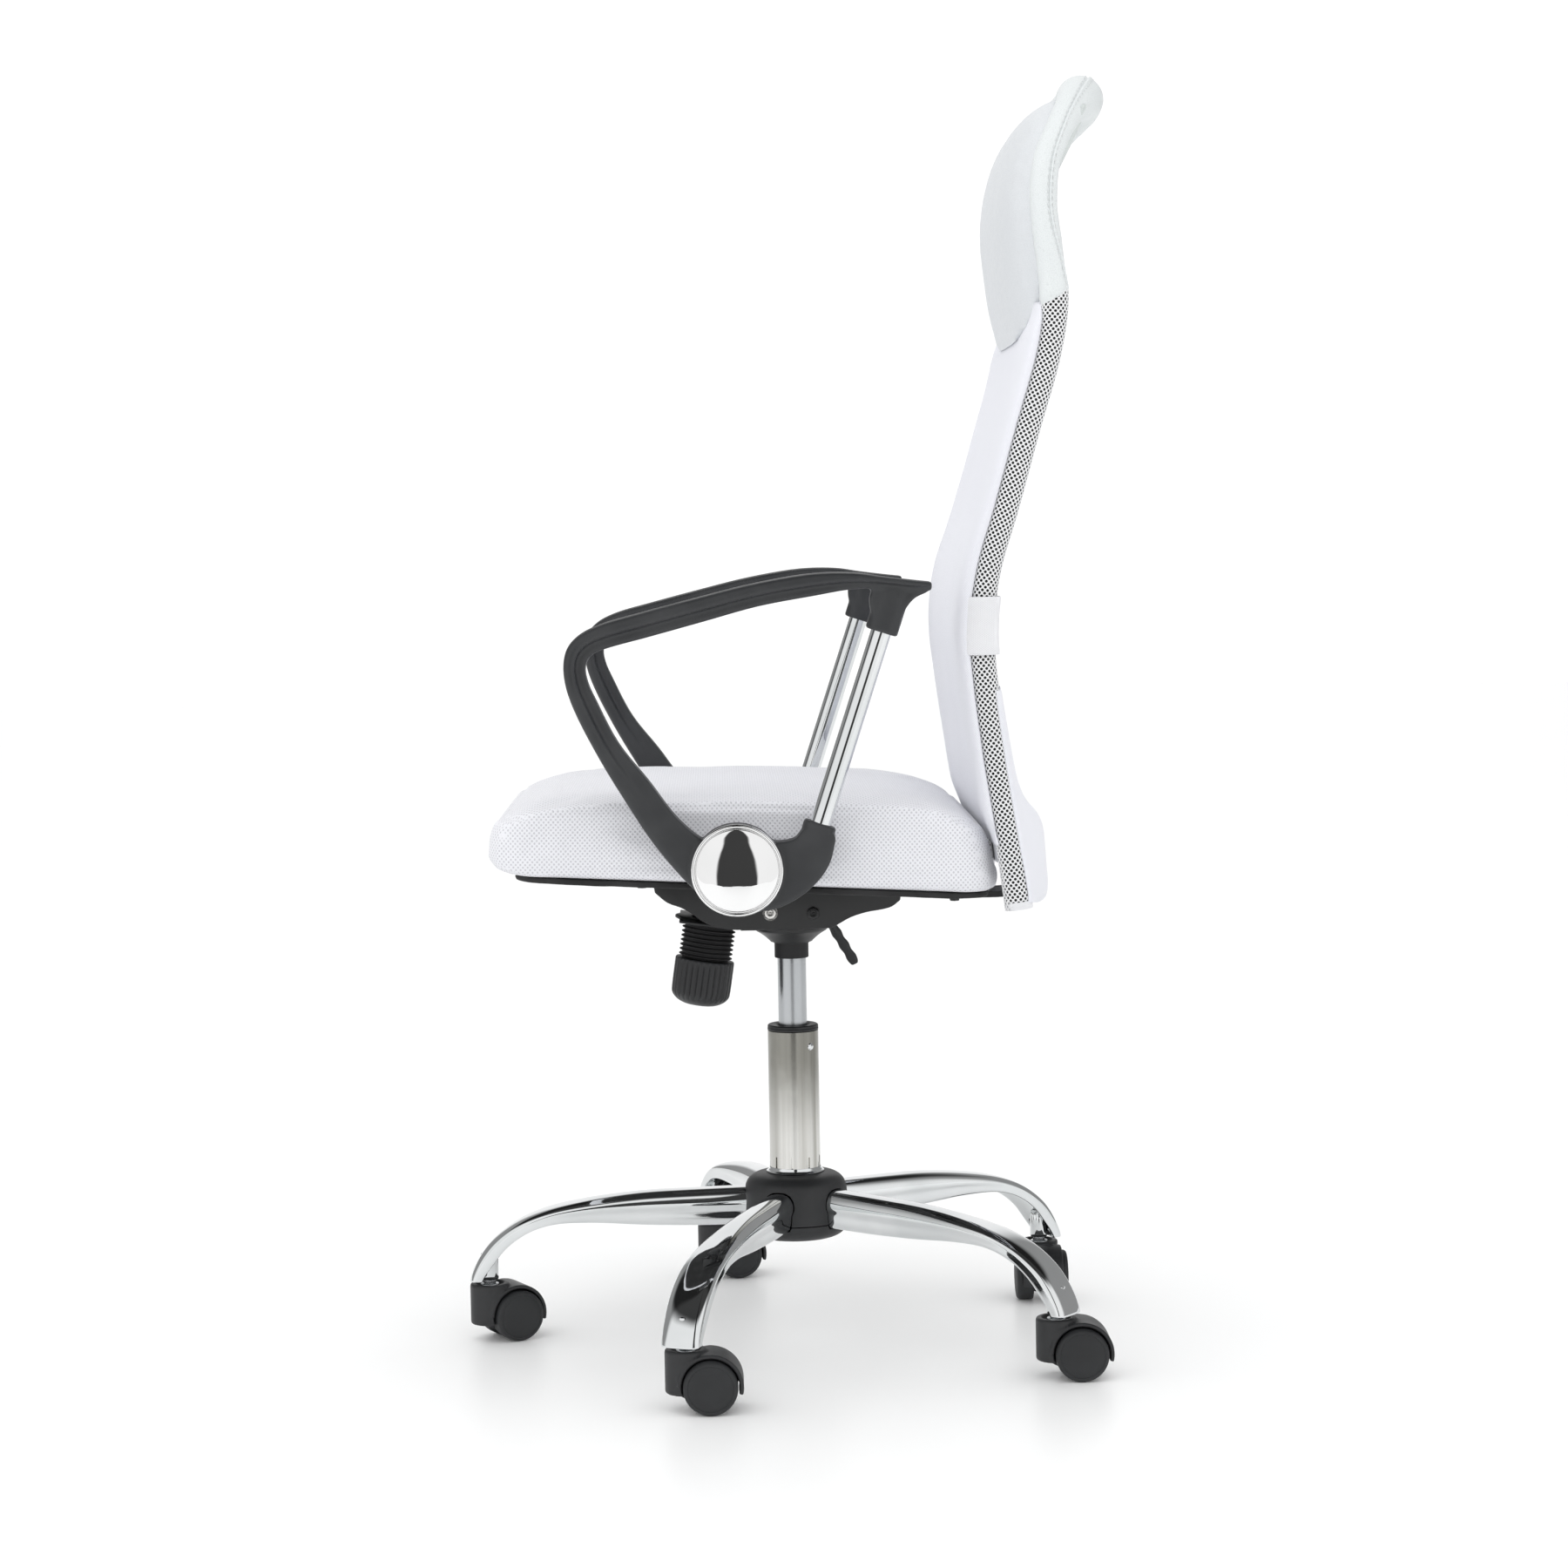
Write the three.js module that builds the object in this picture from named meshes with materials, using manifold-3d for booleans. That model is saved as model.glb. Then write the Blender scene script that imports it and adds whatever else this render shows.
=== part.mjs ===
// Swivel office chair: mesh back, leather headrest, loop arms, gas lift and five-star base.
// Millimetres, +Z up. The chair faces -Y; the column stands on the Z axis; the floor is Z = 0.
import * as THREE from 'three';
import { mergeVertices } from 'three/addons/utils/BufferGeometryUtils.js';
import Module from 'manifold-3d';

const wasm = await Module();
wasm.setup();

// ---------------------------------------------------------------- driving dimensions
const GAP = 0.4;                    // clearance between touching pieces

const STEM_CIRCLE = 305;            // radius of the circle of caster stems
const FIRST_LEG = -20.7;            // degrees from +X towards +Y
const LEG_COUNT = 5;
const CASTER_TURNS = [0, 0, -90, 5, 28];   // resting swivel of each caster, degrees

const WHEEL_R = 25;
const WHEEL_SIDES = 20;
const WHEEL_TRAIL = 22;             // wheel axis behind the stem
const WHEEL_IN = 9.4;               // inner face of a wheel, from the caster's middle plane
const WHEEL_OUT = 26.2;             // outer face of a wheel
const AXLE_R = 3.6;
const HOOD_TOP = 57.4;
const STEM_R = 5.5;

const HUB_SPLIT = 118;              // height where the two hub covers meet
const SOCKET_R = 34;
const COLUMN_R = 25;
const COLUMN_TOP = 303;
const COLUMN_BOTTOM = 101;
const CYLINDER_R = 14;
const CYLINDER_TOP = 404;
const ROD_R = 5;

const PIVOT = { y: -21, z: 427 };   // tilt axis, along X
const STOP = { y: 20.5, z: 425.8 }; // stop pin, along X
const PIVOT_PIN_R = 5;
const STOP_PIN_R = 4;
const CHEEK_IN = 49;                // inner face of the tilt plate's cheeks
const CHEEK_OUT = 52;

const SEAT_SLOPE = 3.18;            // degrees, front higher
const BOARD_TOP = 468.6;            // height of the board's top face above the column
const BOARD_THICK = 6;
const STRAP_THICK = 4;
const PLATE_THICK = 3;

const KNOB_TOP = { y: -85, z: 378 };
const KNOB_LEAN = 8.5;              // degrees, lower end to the front
const KNOB_R = 29;
const BELLOWS_TOP = 36;             // above the knob, along its axis
const LEVER = { y: 38, z: 437 };    // the lever's shaft, along X
const LEVER_BUSH_R = 7;
const LEVER_R = 4;

const ARM_X = 252.5;                // middle of an arm's pad and tube
const ARM_IN = 237;
const ARM_OUT = 271;
const ARM_TUBE_R = 9.45;
const DISC = { y: -53, z: 490, r: 41 };

const FRAME_X = 215;                // middle of the back frame's upright tubes
const FRAME_R = 10;

// ---------------------------------------------------------------- materials
function finish(hex, roughness, metalness) {
  return () => new THREE.MeshStandardMaterial({ color: hex, roughness, metalness });
}
const chrome = finish(0xd9dadb, 0.08, 1.0);
const steel = finish(0x8d9194, 0.3, 0.9);
const blackSteel = finish(0x1b1b1d, 0.5, 0.3);
const blackPlastic = finish(0x26272a, 0.45, 0.0);
const charcoalPlastic = finish(0x34363a, 0.5, 0.0);
const rubber = finish(0x17181a, 0.7, 0.0);
const whiteMesh = finish(0xebeef6, 0.9, 0.0);
const whiteLeather = finish(0xe4e9e9, 0.5, 0.0);
const board = finish(0x202022, 0.85, 0.0);

// ---------------------------------------------------------------- helpers
const object = new THREE.Group();

function addTo(parent, name, geometry, material) {
  const mesh = new THREE.Mesh(geometry, material());
  mesh.name = name;
  parent.add(mesh);
  return mesh;
}

function bare(geometry) {
  const copy = geometry.clone();
  copy.deleteAttribute('normal');
  copy.deleteAttribute('uv');
  return mergeVertices(copy, 1e-3);
}

function solidOf(geometry) {
  const merged = bare(geometry);
  const vertProperties = new Float32Array(merged.attributes.position.array);
  const triVerts = new Uint32Array(merged.index.array);
  return new wasm.Manifold(new wasm.Mesh({ numProp: 3, vertProperties, triVerts }));
}

function geometryOf(solid) {
  const data = solid.getMesh();
  const geometry = new THREE.BufferGeometry();
  geometry.setAttribute('position', new THREE.BufferAttribute(data.vertProperties, 3));
  geometry.setIndex(new THREE.BufferAttribute(data.triVerts, 1));
  geometry.computeVertexNormals();
  return geometry;
}

function join(...geometries) {
  return geometryOf(geometries.map(solidOf).reduce((sum, next) => sum.add(next)));
}

function common(first, second) {
  return geometryOf(solidOf(first).intersect(solidOf(second)));
}

function cut(geometry, ...tools) {
  return geometryOf(tools.map(solidOf).reduce((sum, next) => sum.subtract(next), solidOf(geometry)));
}

function box(x0, x1, y0, y1, z0, z1) {
  const geometry = new THREE.BoxGeometry(x1 - x0, y1 - y0, z1 - z0);
  return geometry.translate((x0 + x1) / 2, (y0 + y1) / 2, (z0 + z1) / 2);
}

// A turned piece about Z from [radius, z] pairs, listed upwards along the outside.
function turned(profile, sides) {
  const points = profile.map(([r, z]) => new THREE.Vector2(r, z));
  return new THREE.LatheGeometry(points, sides).rotateX(Math.PI / 2);
}

function ring(rIn, rOut, z0, z1, sides) {
  return turned([[rIn, z0], [rOut, z0], [rOut, z1], [rIn, z1], [rIn, z0]], sides);
}

function rod(r, z0, z1, sides) {
  return turned([[0, z0], [r, z0], [r, z1], [0, z1]], sides);
}

function alongX(geometry, y, z) {
  return geometry.rotateY(Math.PI / 2).translate(0, y, z);
}

// A side outline of [y, z] pairs, given a thickness along X.
function slab(outline, x0, x1, bevel = 0) {
  const shape = new THREE.Shape(outline.map(([y, z]) => new THREE.Vector2(y, z)));
  const geometry = new THREE.ExtrudeGeometry(shape, {
    depth: x1 - x0 - 2 * bevel,
    bevelEnabled: bevel > 0,
    bevelSize: bevel,
    bevelThickness: bevel,
    bevelOffset: -bevel,
    bevelSegments: 3,
  });
  geometry.translate(0, 0, x0 + bevel);
  const toSide = new THREE.Matrix4().makeBasis(
    new THREE.Vector3(0, 1, 0), new THREE.Vector3(0, 0, 1), new THREE.Vector3(1, 0, 0));
  return geometry.applyMatrix4(toSide);
}

function smooth(points, count) {
  const curve = new THREE.SplineCurve(points.map(([y, z]) => new THREE.Vector2(y, z)));
  return curve.getPoints(count).map((point) => [point.x, point.y]);
}

function tubeAlong(curve, radius, sides, steps) {
  const circle = new THREE.Shape();
  for (let i = 0; i < sides; i += 1) {
    const angle = (2 * Math.PI * i) / sides;
    const place = [radius * Math.cos(angle), radius * Math.sin(angle)];
    if (i === 0) circle.moveTo(...place);
    else circle.lineTo(...place);
  }
  return new THREE.ExtrudeGeometry(circle, { steps, extrudePath: curve, bevelEnabled: false });
}

// A cylinder whose rings are laid over the given sections: centre, two unit directions,
// two half sizes and the squareness of the ring (2 is an ellipse, more is boxier).
function loft(sections, sides) {
  const rings = sections.length - 1;
  const geometry = bare(new THREE.CylinderGeometry(1, 1, 1, sides, rings));
  const position = geometry.attributes.position;
  const bent = (value, power) => Math.sign(value) * Math.abs(value) ** (2 / power);
  for (let i = 0; i < position.count; i += 1) {
    const section = sections[Math.round((0.5 - position.getY(i)) * rings)];
    const { centre, u, v, a, b, power = 2 } = section;
    const point = centre.clone()
      .addScaledVector(u, a * bent(position.getX(i), power))
      .addScaledVector(v, b * bent(position.getZ(i), power));
    position.setXYZ(i, point.x, point.y, point.z);
  }
  return facingOut(geometry);
}

function facingOut(geometry) {
  const { array } = geometry.attributes.position;
  const index = geometry.index.array;
  const corner = (i) => new THREE.Vector3().fromArray(array, 3 * index[i]);
  let volume = 0;
  for (let i = 0; i < index.length; i += 3) {
    volume += corner(i).dot(corner(i + 1).cross(corner(i + 2)));
  }
  if (volume < 0) {
    for (let i = 0; i < index.length; i += 3) {
      [index[i + 1], index[i + 2]] = [index[i + 2], index[i + 1]];
    }
  }
  return geometry;
}

function mix(a, b, share) {
  return a + (b - a) * share;
}

function eased(value) {
  const t = Math.min(1, Math.max(0, value));
  return t * t * (3 - 2 * t);
}

// ---------------------------------------------------------------- base: legs and hub
// Leg stations: top edge [r, z], bottom edge [r, z], half width.
const LEG_STATIONS = [
  [38, 152, 38, 114, 14.5],
  [56, 151.5, 56, 114, 15.5],
  [104, 150, 104, 113.5, 16],
  [155, 147.5, 150, 114.5, 16.5],
  [206, 141, 202, 117.5, 18],
  [245, 132.5, 240, 117, 19],
  [275, 120.3, 265, 109, 19.5],
  [300, 102, 286, 94, 19.5],
  [314, 84.5, 299, 78, 19],
  [322, 68, 308, 66, 18.5],
  [324, 60, 311, 60, 18.5],
];
const LEG_SQUARENESS = 2.6;

function legLoft(stations, grow) {
  const sections = stations.map(([rTop, zTop, rLow, zLow, half]) => {
    const top = new THREE.Vector3(rTop, 0, zTop);
    const low = new THREE.Vector3(rLow, 0, zLow);
    const v = top.clone().sub(low);
    const b = v.length() / 2;
    return {
      centre: top.add(low).multiplyScalar(0.5),
      u: new THREE.Vector3(0, 1, 0),
      v: v.normalize(),
      a: half + grow,
      b: b + grow,
      power: LEG_SQUARENESS,
    };
  });
  return loft(sections, 12);
}

function leg() {
  const boss = rod(9, 60, 84, 10).translate(STEM_CIRCLE, 0, 0);
  const bore = rod(STEM_R + GAP, 50, 81, 12).translate(STEM_CIRCLE, 0, 0);
  return cut(join(legLoft(LEG_STATIONS, 0), boss), bore);
}

function legAngle(index) {
  return THREE.MathUtils.degToRad(FIRST_LEG + (360 / LEG_COUNT) * index);
}

function legSlots() {
  const slots = [];
  for (let i = 0; i < LEG_COUNT; i += 1) {
    const near = [[30, 152, 30, 114, 14.2], ...LEG_STATIONS.slice(0, 3)];
    slots.push(legLoft(near, 2 * GAP).rotateZ(legAngle(i)));
  }
  return slots;
}


function hubCoverUpper() {
  const shell = turned([
    [50.5, HUB_SPLIT + GAP], [50.5, 148], [47.5, 158], [41, 163.5], [28, 165.5], [COLUMN_R + 1, 165.5],
    [COLUMN_R + 1, 162.5], [40, 160.5], [45, 156], [47.5, 148], [47.5, HUB_SPLIT + GAP],
    [50.5, HUB_SPLIT + GAP],
  ], 20);
  return cut(shell, ...legSlots());
}

function hubCoverLower() {
  const shell = turned([
    [0, 98], [34, 98], [44, 101], [49.5, 108], [50.5, HUB_SPLIT], [47.5, HUB_SPLIT],
    [46.5, 109], [42, 103.5], [33, 100.6], [0, 100.6],
  ], 20);
  return cut(shell, ...legSlots());
}

function addBase() {
  const socket = ring(COLUMN_R + GAP, SOCKET_R, 102, 160, 20);
  addTo(object, 'hub_socket', socket, blackSteel);
  addTo(object, 'hub_cover_upper', hubCoverUpper(), blackPlastic);
  addTo(object, 'hub_cover_lower', hubCoverLower(), blackPlastic);
  for (let i = 0; i < LEG_COUNT; i += 1) {
    addTo(object, `base_leg_${i + 1}`, leg(), chrome).rotation.z = legAngle(i);
  }
}

// ---------------------------------------------------------------- casters
// Local frame: the stem stands on Z at the origin, the wheels trail towards +Y.
function casterHood() {
  const wheelSpace = WHEEL_R + 1.6;
  const spaceRight = alongX(rod(wheelSpace, WHEEL_IN - 0.8, 40, 16), WHEEL_TRAIL, WHEEL_R);
  const spaceLeft = alongX(rod(wheelSpace, -40, 0.8 - WHEEL_IN, 16), WHEEL_TRAIL, WHEEL_R);
  const housing = rod(19.5, 17, HOOD_TOP, 14);
  const web = slab([[-10, 20], [0, 12], [12, 8], [30, 10], [40, 20], [44, 34], [30, 50], [0, 52]], -8.4, 8.4);
  const fender = [];
  const fenderOut = WHEEL_R + 5;
  for (let degrees = 175; degrees >= -13; degrees -= 23.5) {
    const angle = THREE.MathUtils.degToRad(degrees);
    fender.push([WHEEL_TRAIL + fenderOut * Math.cos(angle), WHEEL_R + fenderOut * Math.sin(angle)]);
  }
  const cover = slab([...fender, [WHEEL_TRAIL + 20, WHEEL_R - 5], [WHEEL_TRAIL - 20, WHEEL_R]], -21, 21);
  const axleStub = alongX(rod(AXLE_R, -22, 22, 8), WHEEL_TRAIL, WHEEL_R);
  const shell = cut(join(housing, web, cover), spaceRight, spaceLeft);
  return cut(join(shell, axleStub), rod(STEM_R + GAP, 21, 70, 12));
}

function casterStem() {
  return rod(STEM_R, 21.5, 79, 12);
}

// One wheel, its axis on X. The rim is a prism, so its lowest facet lies flat on the floor.
function casterWheel(side) {
  const rim = WHEEL_R / Math.cos(Math.PI / WHEEL_SIDES);
  const wheel = turned([
    [AXLE_R + GAP, WHEEL_IN], [rim, WHEEL_IN], [rim, WHEEL_OUT - 3],
    [22.5, WHEEL_OUT], [0, WHEEL_OUT + 0.8], [0, 22.6], [AXLE_R + GAP, 22.6], [AXLE_R + GAP, WHEEL_IN],
  ], WHEEL_SIDES);
  wheel.rotateZ(Math.PI / WHEEL_SIDES);
  alongX(wheel, 0, 0);
  if (side < 0) wheel.rotateZ(Math.PI);
  return wheel.translate(0, WHEEL_TRAIL, WHEEL_R);
}

function addCasters() {
  for (let i = 0; i < LEG_COUNT; i += 1) {
    const caster = new THREE.Group();
    caster.position.set(STEM_CIRCLE * Math.cos(legAngle(i)), STEM_CIRCLE * Math.sin(legAngle(i)), 0);
    caster.rotation.z = THREE.MathUtils.degToRad(CASTER_TURNS[i]);
    object.add(caster);
    addTo(caster, `caster_stem_${i + 1}`, casterStem(), steel);
    addTo(caster, `caster_hood_${i + 1}`, casterHood(), blackPlastic);
    addTo(caster, `caster_wheel_${i + 1}_a`, casterWheel(1), charcoalPlastic);
    addTo(caster, `caster_wheel_${i + 1}_b`, casterWheel(-1), charcoalPlastic);
  }
}

// ---------------------------------------------------------------- column and gas lift
function addColumn() {
  const tubeIn = COLUMN_R - 2.5;
  const columnTube = turned([
    [0, COLUMN_BOTTOM], [COLUMN_R, COLUMN_BOTTOM], [COLUMN_R, COLUMN_TOP], [tubeIn, COLUMN_TOP],
    [tubeIn, COLUMN_BOTTOM + 3], [0, COLUMN_BOTTOM + 3],
  ], 20);
  addTo(object, 'column_tube', columnTube, chrome);

  const bushIn = CYLINDER_R + GAP;
  const columnBush = turned([
    [bushIn, 268], [tubeIn - GAP, 268], [tubeIn - GAP, COLUMN_TOP + GAP], [COLUMN_R, COLUMN_TOP + GAP],
    [COLUMN_R, 309], [COLUMN_R - 1.5, 310.5], [bushIn, 310.5], [bushIn, 268],
  ], 20);
  addTo(object, 'column_bush', columnBush, blackPlastic);

  addTo(object, 'thrust_bearing', ring(6, 14, 104.4, 108, 16), steel);

  const pistonRod = turned([
    [0, 108.4], [9, 108.4], [9, 112], [ROD_R, 112], [ROD_R, 250], [11.4, 250], [11.4, 262], [0, 262],
  ], 12);
  addTo(object, 'piston_rod', pistonRod, steel);

  const gasCylinder = turned([
    [0, 385], [11.9, 385], [11.9, 197], [ROD_R + GAP, 197], [ROD_R + GAP, 190], [CYLINDER_R, 190],
    [CYLINDER_R, CYLINDER_TOP], [0, CYLINDER_TOP],
  ].reverse(), 20);
  addTo(object, 'gas_cylinder', facingOut(bare(gasCylinder)), steel);

  addTo(object, 'cylinder_collar', ring(CYLINDER_R + GAP, 16.6, 378, 393, 20), rubber);
}

// ---------------------------------------------------------------- tilt mechanism
function seatUnder(y) {
  return BOARD_TOP - Math.tan(THREE.MathUtils.degToRad(SEAT_SLOPE)) * y - BOARD_THICK - STRAP_THICK - 2 * GAP;
}

function mechanismCore() {
  const cone = turned([
    [CYLINDER_R + GAP, 393.4], [20.5, 393.4], [24, 397], [31, 402], [35.5, 405], [36, 409.5],
    [CYLINDER_R + GAP, 409.5], [CYLINDER_R + GAP, 393.4],
  ], 20);
  const body = box(-44, 44, -50, 12, 409, 436);
  const neck = box(-20, 20, -60, -40, 430, 451);
  const tongue = box(-20, 20, -92, -41, 444, 451);
  const slot = box(-6, 6, -93, -64, 440, 455);
  const bore = alongX(rod(PIVOT_PIN_R + GAP, -50, 50, 16), PIVOT.y, PIVOT.z);
  return cut(join(cone, body, neck, tongue), slot, bore, rod(CYLINDER_R + GAP, 390, CYLINDER_TOP + 1, 20));
}


// A pin across the cheeks with a head at each end.
function headedPin(r, headR, headThick, place) {
  const face = CHEEK_OUT + GAP;
  const tip = face + headThick;
  const pin = turned([
    [0, -tip], [headR, -tip], [headR, -face], [r, -face], [r, face], [headR, face], [headR, tip], [0, tip],
  ], 12);
  return alongX(pin, place.y, place.z);
}

function leaned(geometry) {
  return geometry.rotateX(THREE.MathUtils.degToRad(-KNOB_LEAN)).translate(0, KNOB_TOP.y, KNOB_TOP.z);
}


function tiltPlate() {
  const plateTop = (y) => [y, seatUnder(y)];
  const cheek = [
    [-132, 449], [-120, 438], [-107, 434], [-88, 421], [-70, 413.5], [-56, 411], [39, 411], [45, 416],
    [57, 421.5], [72, 426], [94, 429], [104, 437], plateTop(106), plateTop(-134),
  ];
  const top = [
    plateTop(-150), plateTop(110), [110, seatUnder(110) - PLATE_THICK], [-150, seatUnder(-150) - PLATE_THICK],
  ];
  const cup = leaned(box(-50, 50, -32, 17, BELLOWS_TOP + GAP, BELLOWS_TOP + GAP + PLATE_THICK));
  const cupHole = leaned(rod(19, 30, 45, 16));
  const plate = join(
    slab(cheek, CHEEK_IN, CHEEK_OUT), slab(cheek, -CHEEK_OUT, -CHEEK_IN), slab(top.reverse(), -78, 78), cup);
  return cut(
    plate, cupHole,
    alongX(rod(PIVOT_PIN_R + GAP, -60, 60, 16), PIVOT.y, PIVOT.z),
    alongX(rod(STOP_PIN_R + GAP, -60, 60, 16), STOP.y, STOP.z),
    alongX(rod(LEVER_BUSH_R + 2.5, -60, -40, 16), LEVER.y, LEVER.z));
}


function bellows() {
  const profile = [[19.5, GAP]];
  const rings = 3;
  const pitch = (BELLOWS_TOP - 2 * GAP) / rings;
  for (let i = 0; i < rings; i += 1) {
    profile.push([23, GAP + pitch * i], [26, GAP + pitch * (i + 0.5)]);
  }
  profile.push([23, BELLOWS_TOP], [19.5, BELLOWS_TOP], [19.5, GAP]);
  return turned(profile, 16);
}

function addMechanism() {
  addTo(object, 'mechanism_core', mechanismCore(), blackSteel);
  addTo(object, 'pivot_pin', headedPin(PIVOT_PIN_R, 7.5, 3, PIVOT), steel);
  addTo(object, 'tilt_plate', tiltPlate(), blackSteel);
  addTo(object, 'stop_pin', headedPin(STOP_PIN_R, 6, 2.5, STOP), blackSteel);
  const knob = turned([
    [0, -46.5], [16, -45], [27, -38], [KNOB_R, -30], [KNOB_R, -GAP], [4.8, -GAP], [4.8, -22], [0, -22],
  ], 16);
  addTo(object, 'tension_knob', leaned(knob), blackPlastic);
  addTo(object, 'tension_bellows', leaned(bellows()), rubber);
  addTo(object, 'tension_bolt', leaned(rod(4, -21, 76, 12)), steel);
}

// The lever leaves the right-hand cheek and reaches outwards, back and down to its paddle.
function addLever() {
  const bore = LEVER_R + GAP;
  const bush = turned([
    [bore, -57], [11, -57], [11, -54.5], [LEVER_BUSH_R, -54.5], [LEVER_BUSH_R, -48], [bore, -48], [bore, -57],
  ], 12);
  addTo(object, 'lever_bush', alongX(bush, LEVER.y, LEVER.z), blackPlastic);
  const path = new THREE.CatmullRomCurve3([
    new THREE.Vector3(-34, LEVER.y, LEVER.z), new THREE.Vector3(-48, LEVER.y, LEVER.z),
    new THREE.Vector3(-62, LEVER.y, LEVER.z),
    new THREE.Vector3(-86, LEVER.y + 1, LEVER.z - 6), new THREE.Vector3(-103, LEVER.y + 3, LEVER.z - 22),
    new THREE.Vector3(-112, LEVER.y + 6, LEVER.z - 42), new THREE.Vector3(-117, LEVER.y + 14, LEVER.z - 57),
  ]);
  const shaft = tubeAlong(path, LEVER_R, 8, 14);
  const grip = new THREE.CatmullRomCurve3([
    new THREE.Vector3(-112, LEVER.y + 6, LEVER.z - 42), new THREE.Vector3(-124, LEVER.y + 28, LEVER.z - 81),
  ]);
  addTo(object, 'lift_lever', join(shaft, tubeAlong(grip, LEVER_R + 2.2, 8, 1)), blackPlastic);
}

// ---------------------------------------------------------------- seat
// Everything in this group is drawn level; the group leans it back by the seat's slope.
const seat = new THREE.Group();
seat.position.z = BOARD_TOP;
seat.rotation.x = THREE.MathUtils.degToRad(-SEAT_SLOPE);
object.add(seat);

function roundedPlan(halfX, y0, y1, corner, z0, z1) {
  const shape = new THREE.Shape();
  shape.moveTo(-halfX + corner, y0);
  shape.lineTo(halfX - corner, y0);
  shape.absarc(halfX - corner, y0 + corner, corner, -Math.PI / 2, 0);
  shape.lineTo(halfX, y1 - corner);
  shape.absarc(halfX - corner, y1 - corner, corner, 0, Math.PI / 2);
  shape.lineTo(-halfX + corner, y1);
  shape.absarc(-halfX + corner, y1 - corner, corner, Math.PI / 2, Math.PI);
  shape.lineTo(-halfX, y0 + corner);
  shape.absarc(-halfX + corner, y0 + corner, corner, Math.PI, 1.5 * Math.PI);
  const options = { depth: z1 - z0, bevelEnabled: false, curveSegments: 5 };
  return new THREE.ExtrudeGeometry(shape, options).translate(0, 0, z0);
}

// The cushion's side outline: flat underside, rounded nose, crowned top and a falling rear.
const CUSHION_SIDE = [
  [-262, GAP], [-276, 4], [-285, 16], [-287, 32], [-281, 47], [-262, 58], [-235, 66], [-190, 72], [-110, 76],
  [-20, 80], [60, 80.5], [120, 78], [152, 72], [174, 60], [183, 42], [185, 20], [181, GAP],
];
const CUSHION_HALF = 228;

function addSeat() {
  addTo(seat, 'seat_board', roundedPlan(221, -258, 180, 45, -BOARD_THICK, 0), board);
  addTo(seat, 'seat_cushion', slab(CUSHION_SIDE, -CUSHION_HALF, CUSHION_HALF, 16), whiteMesh);
}

// ---------------------------------------------------------------- back
// Upright tube, right side, from its foot to the shoulder: [y, z].
const UPRIGHT = [
  [206.5, 446], [199, 503], [188.5, 572], [179, 646], [175.5, 700], [182, 755], [199.5, 813], [219.5, 883],
  [240, 953], [247, 1000], [243.5, 1040], [238.5, 1090],
];
// Shoulder and half of the top rail: [x, y, z].
const SHOULDER = [
  [212, 242, 1124], [198, 254, 1153], [170, 267, 1176], [125, 279, 1190], [62, 286, 1196],
];
const RAIL_MIDDLE = [0, 289, 1198];

function framePoints() {
  const half = [...UPRIGHT.map(([y, z]) => [FRAME_X, y, z]), ...SHOULDER];
  const mirrored = half.map(([x, y, z]) => [-x, y, z]).reverse();
  return [...half, RAIL_MIDDLE, ...mirrored].map((place) => new THREE.Vector3(...place));
}

const frameCurve = new THREE.CatmullRomCurve3(framePoints(), false, 'centripetal');
const COVER_LOW = 1004;             // lower edge of the headrest cover

function frameTube(grow) {
  return tubeAlong(frameCurve, FRAME_R + grow, 8, 42);
}

function uprightY(z) {
  for (let i = 1; i < UPRIGHT.length; i += 1) {
    const [y0, z0] = UPRIGHT[i - 1];
    const [y1, z1] = UPRIGHT[i];
    if (z <= z1) return mix(y0, y1, (z - z0) / (z1 - z0));
  }
  return UPRIGHT.at(-1)[0];
}

// A block that fills the frame's front view above the cover's lower edge.
function frameWindow() {
  const half = [[FRAME_X, COVER_LOW], [FRAME_X, 1090], ...SHOULDER.map(([x, , z]) => [x, z])];
  const other = half.map(([x, z]) => [-x, z]).reverse();
  const shape = new THREE.Shape([...half, ...other].map(([x, z]) => new THREE.Vector2(x, z)));
  const block = new THREE.ExtrudeGeometry(shape, { depth: 200, bevelEnabled: false });
  return block.rotateX(Math.PI / 2).translate(0, 380, 0);
}

// The part of the frame's curve that lies above the given height, as evenly spaced points.
function curveAbove(height, count) {
  let start = 0;
  while (frameCurve.getPointAt(start).z < height) start += 0.001;
  const places = [];
  for (let i = 0; i <= count; i += 1) places.push(frameCurve.getPointAt(mix(start, 1 - start, i / count)));
  return places;
}

function headrestCover() {
  const places = curveAbove(COVER_LOW, 20);
  const sections = places.map((centre, i) => {
    const before = places[Math.max(0, i - 1)];
    const after = places[Math.min(places.length - 1, i + 1)];
    const along = after.clone().sub(before).normalize();
    const u = new THREE.Vector3(0, 1, 0).addScaledVector(along, -along.y).normalize();
    const radius = mix(22, 13, eased((Math.abs(centre.x) - 110) / 100));
    return { centre, u, v: along.clone().cross(u), a: radius, b: radius };
  });
  const sleeve = loft(sections, 10);
  const front = [[COVER_LOW + 2, 5], [1050, 5], [1090, 6], [1125, 9], [1160, 12], [1180, 14]];
  const spine = (z) => (z < 1090 ? uprightY(z) : mix(238.5, 279, (z - 1090) / 100));
  const rear = front.map(([z, offset]) => [spine(z) + offset + 5, z]).reverse();
  const panel = slab([...front.map(([z, offset]) => [spine(z) + offset, z]), ...rear].reverse(), -210, 210);
  return cut(join(sleeve, common(panel, frameWindow())), frameTube(GAP));
}

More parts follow.
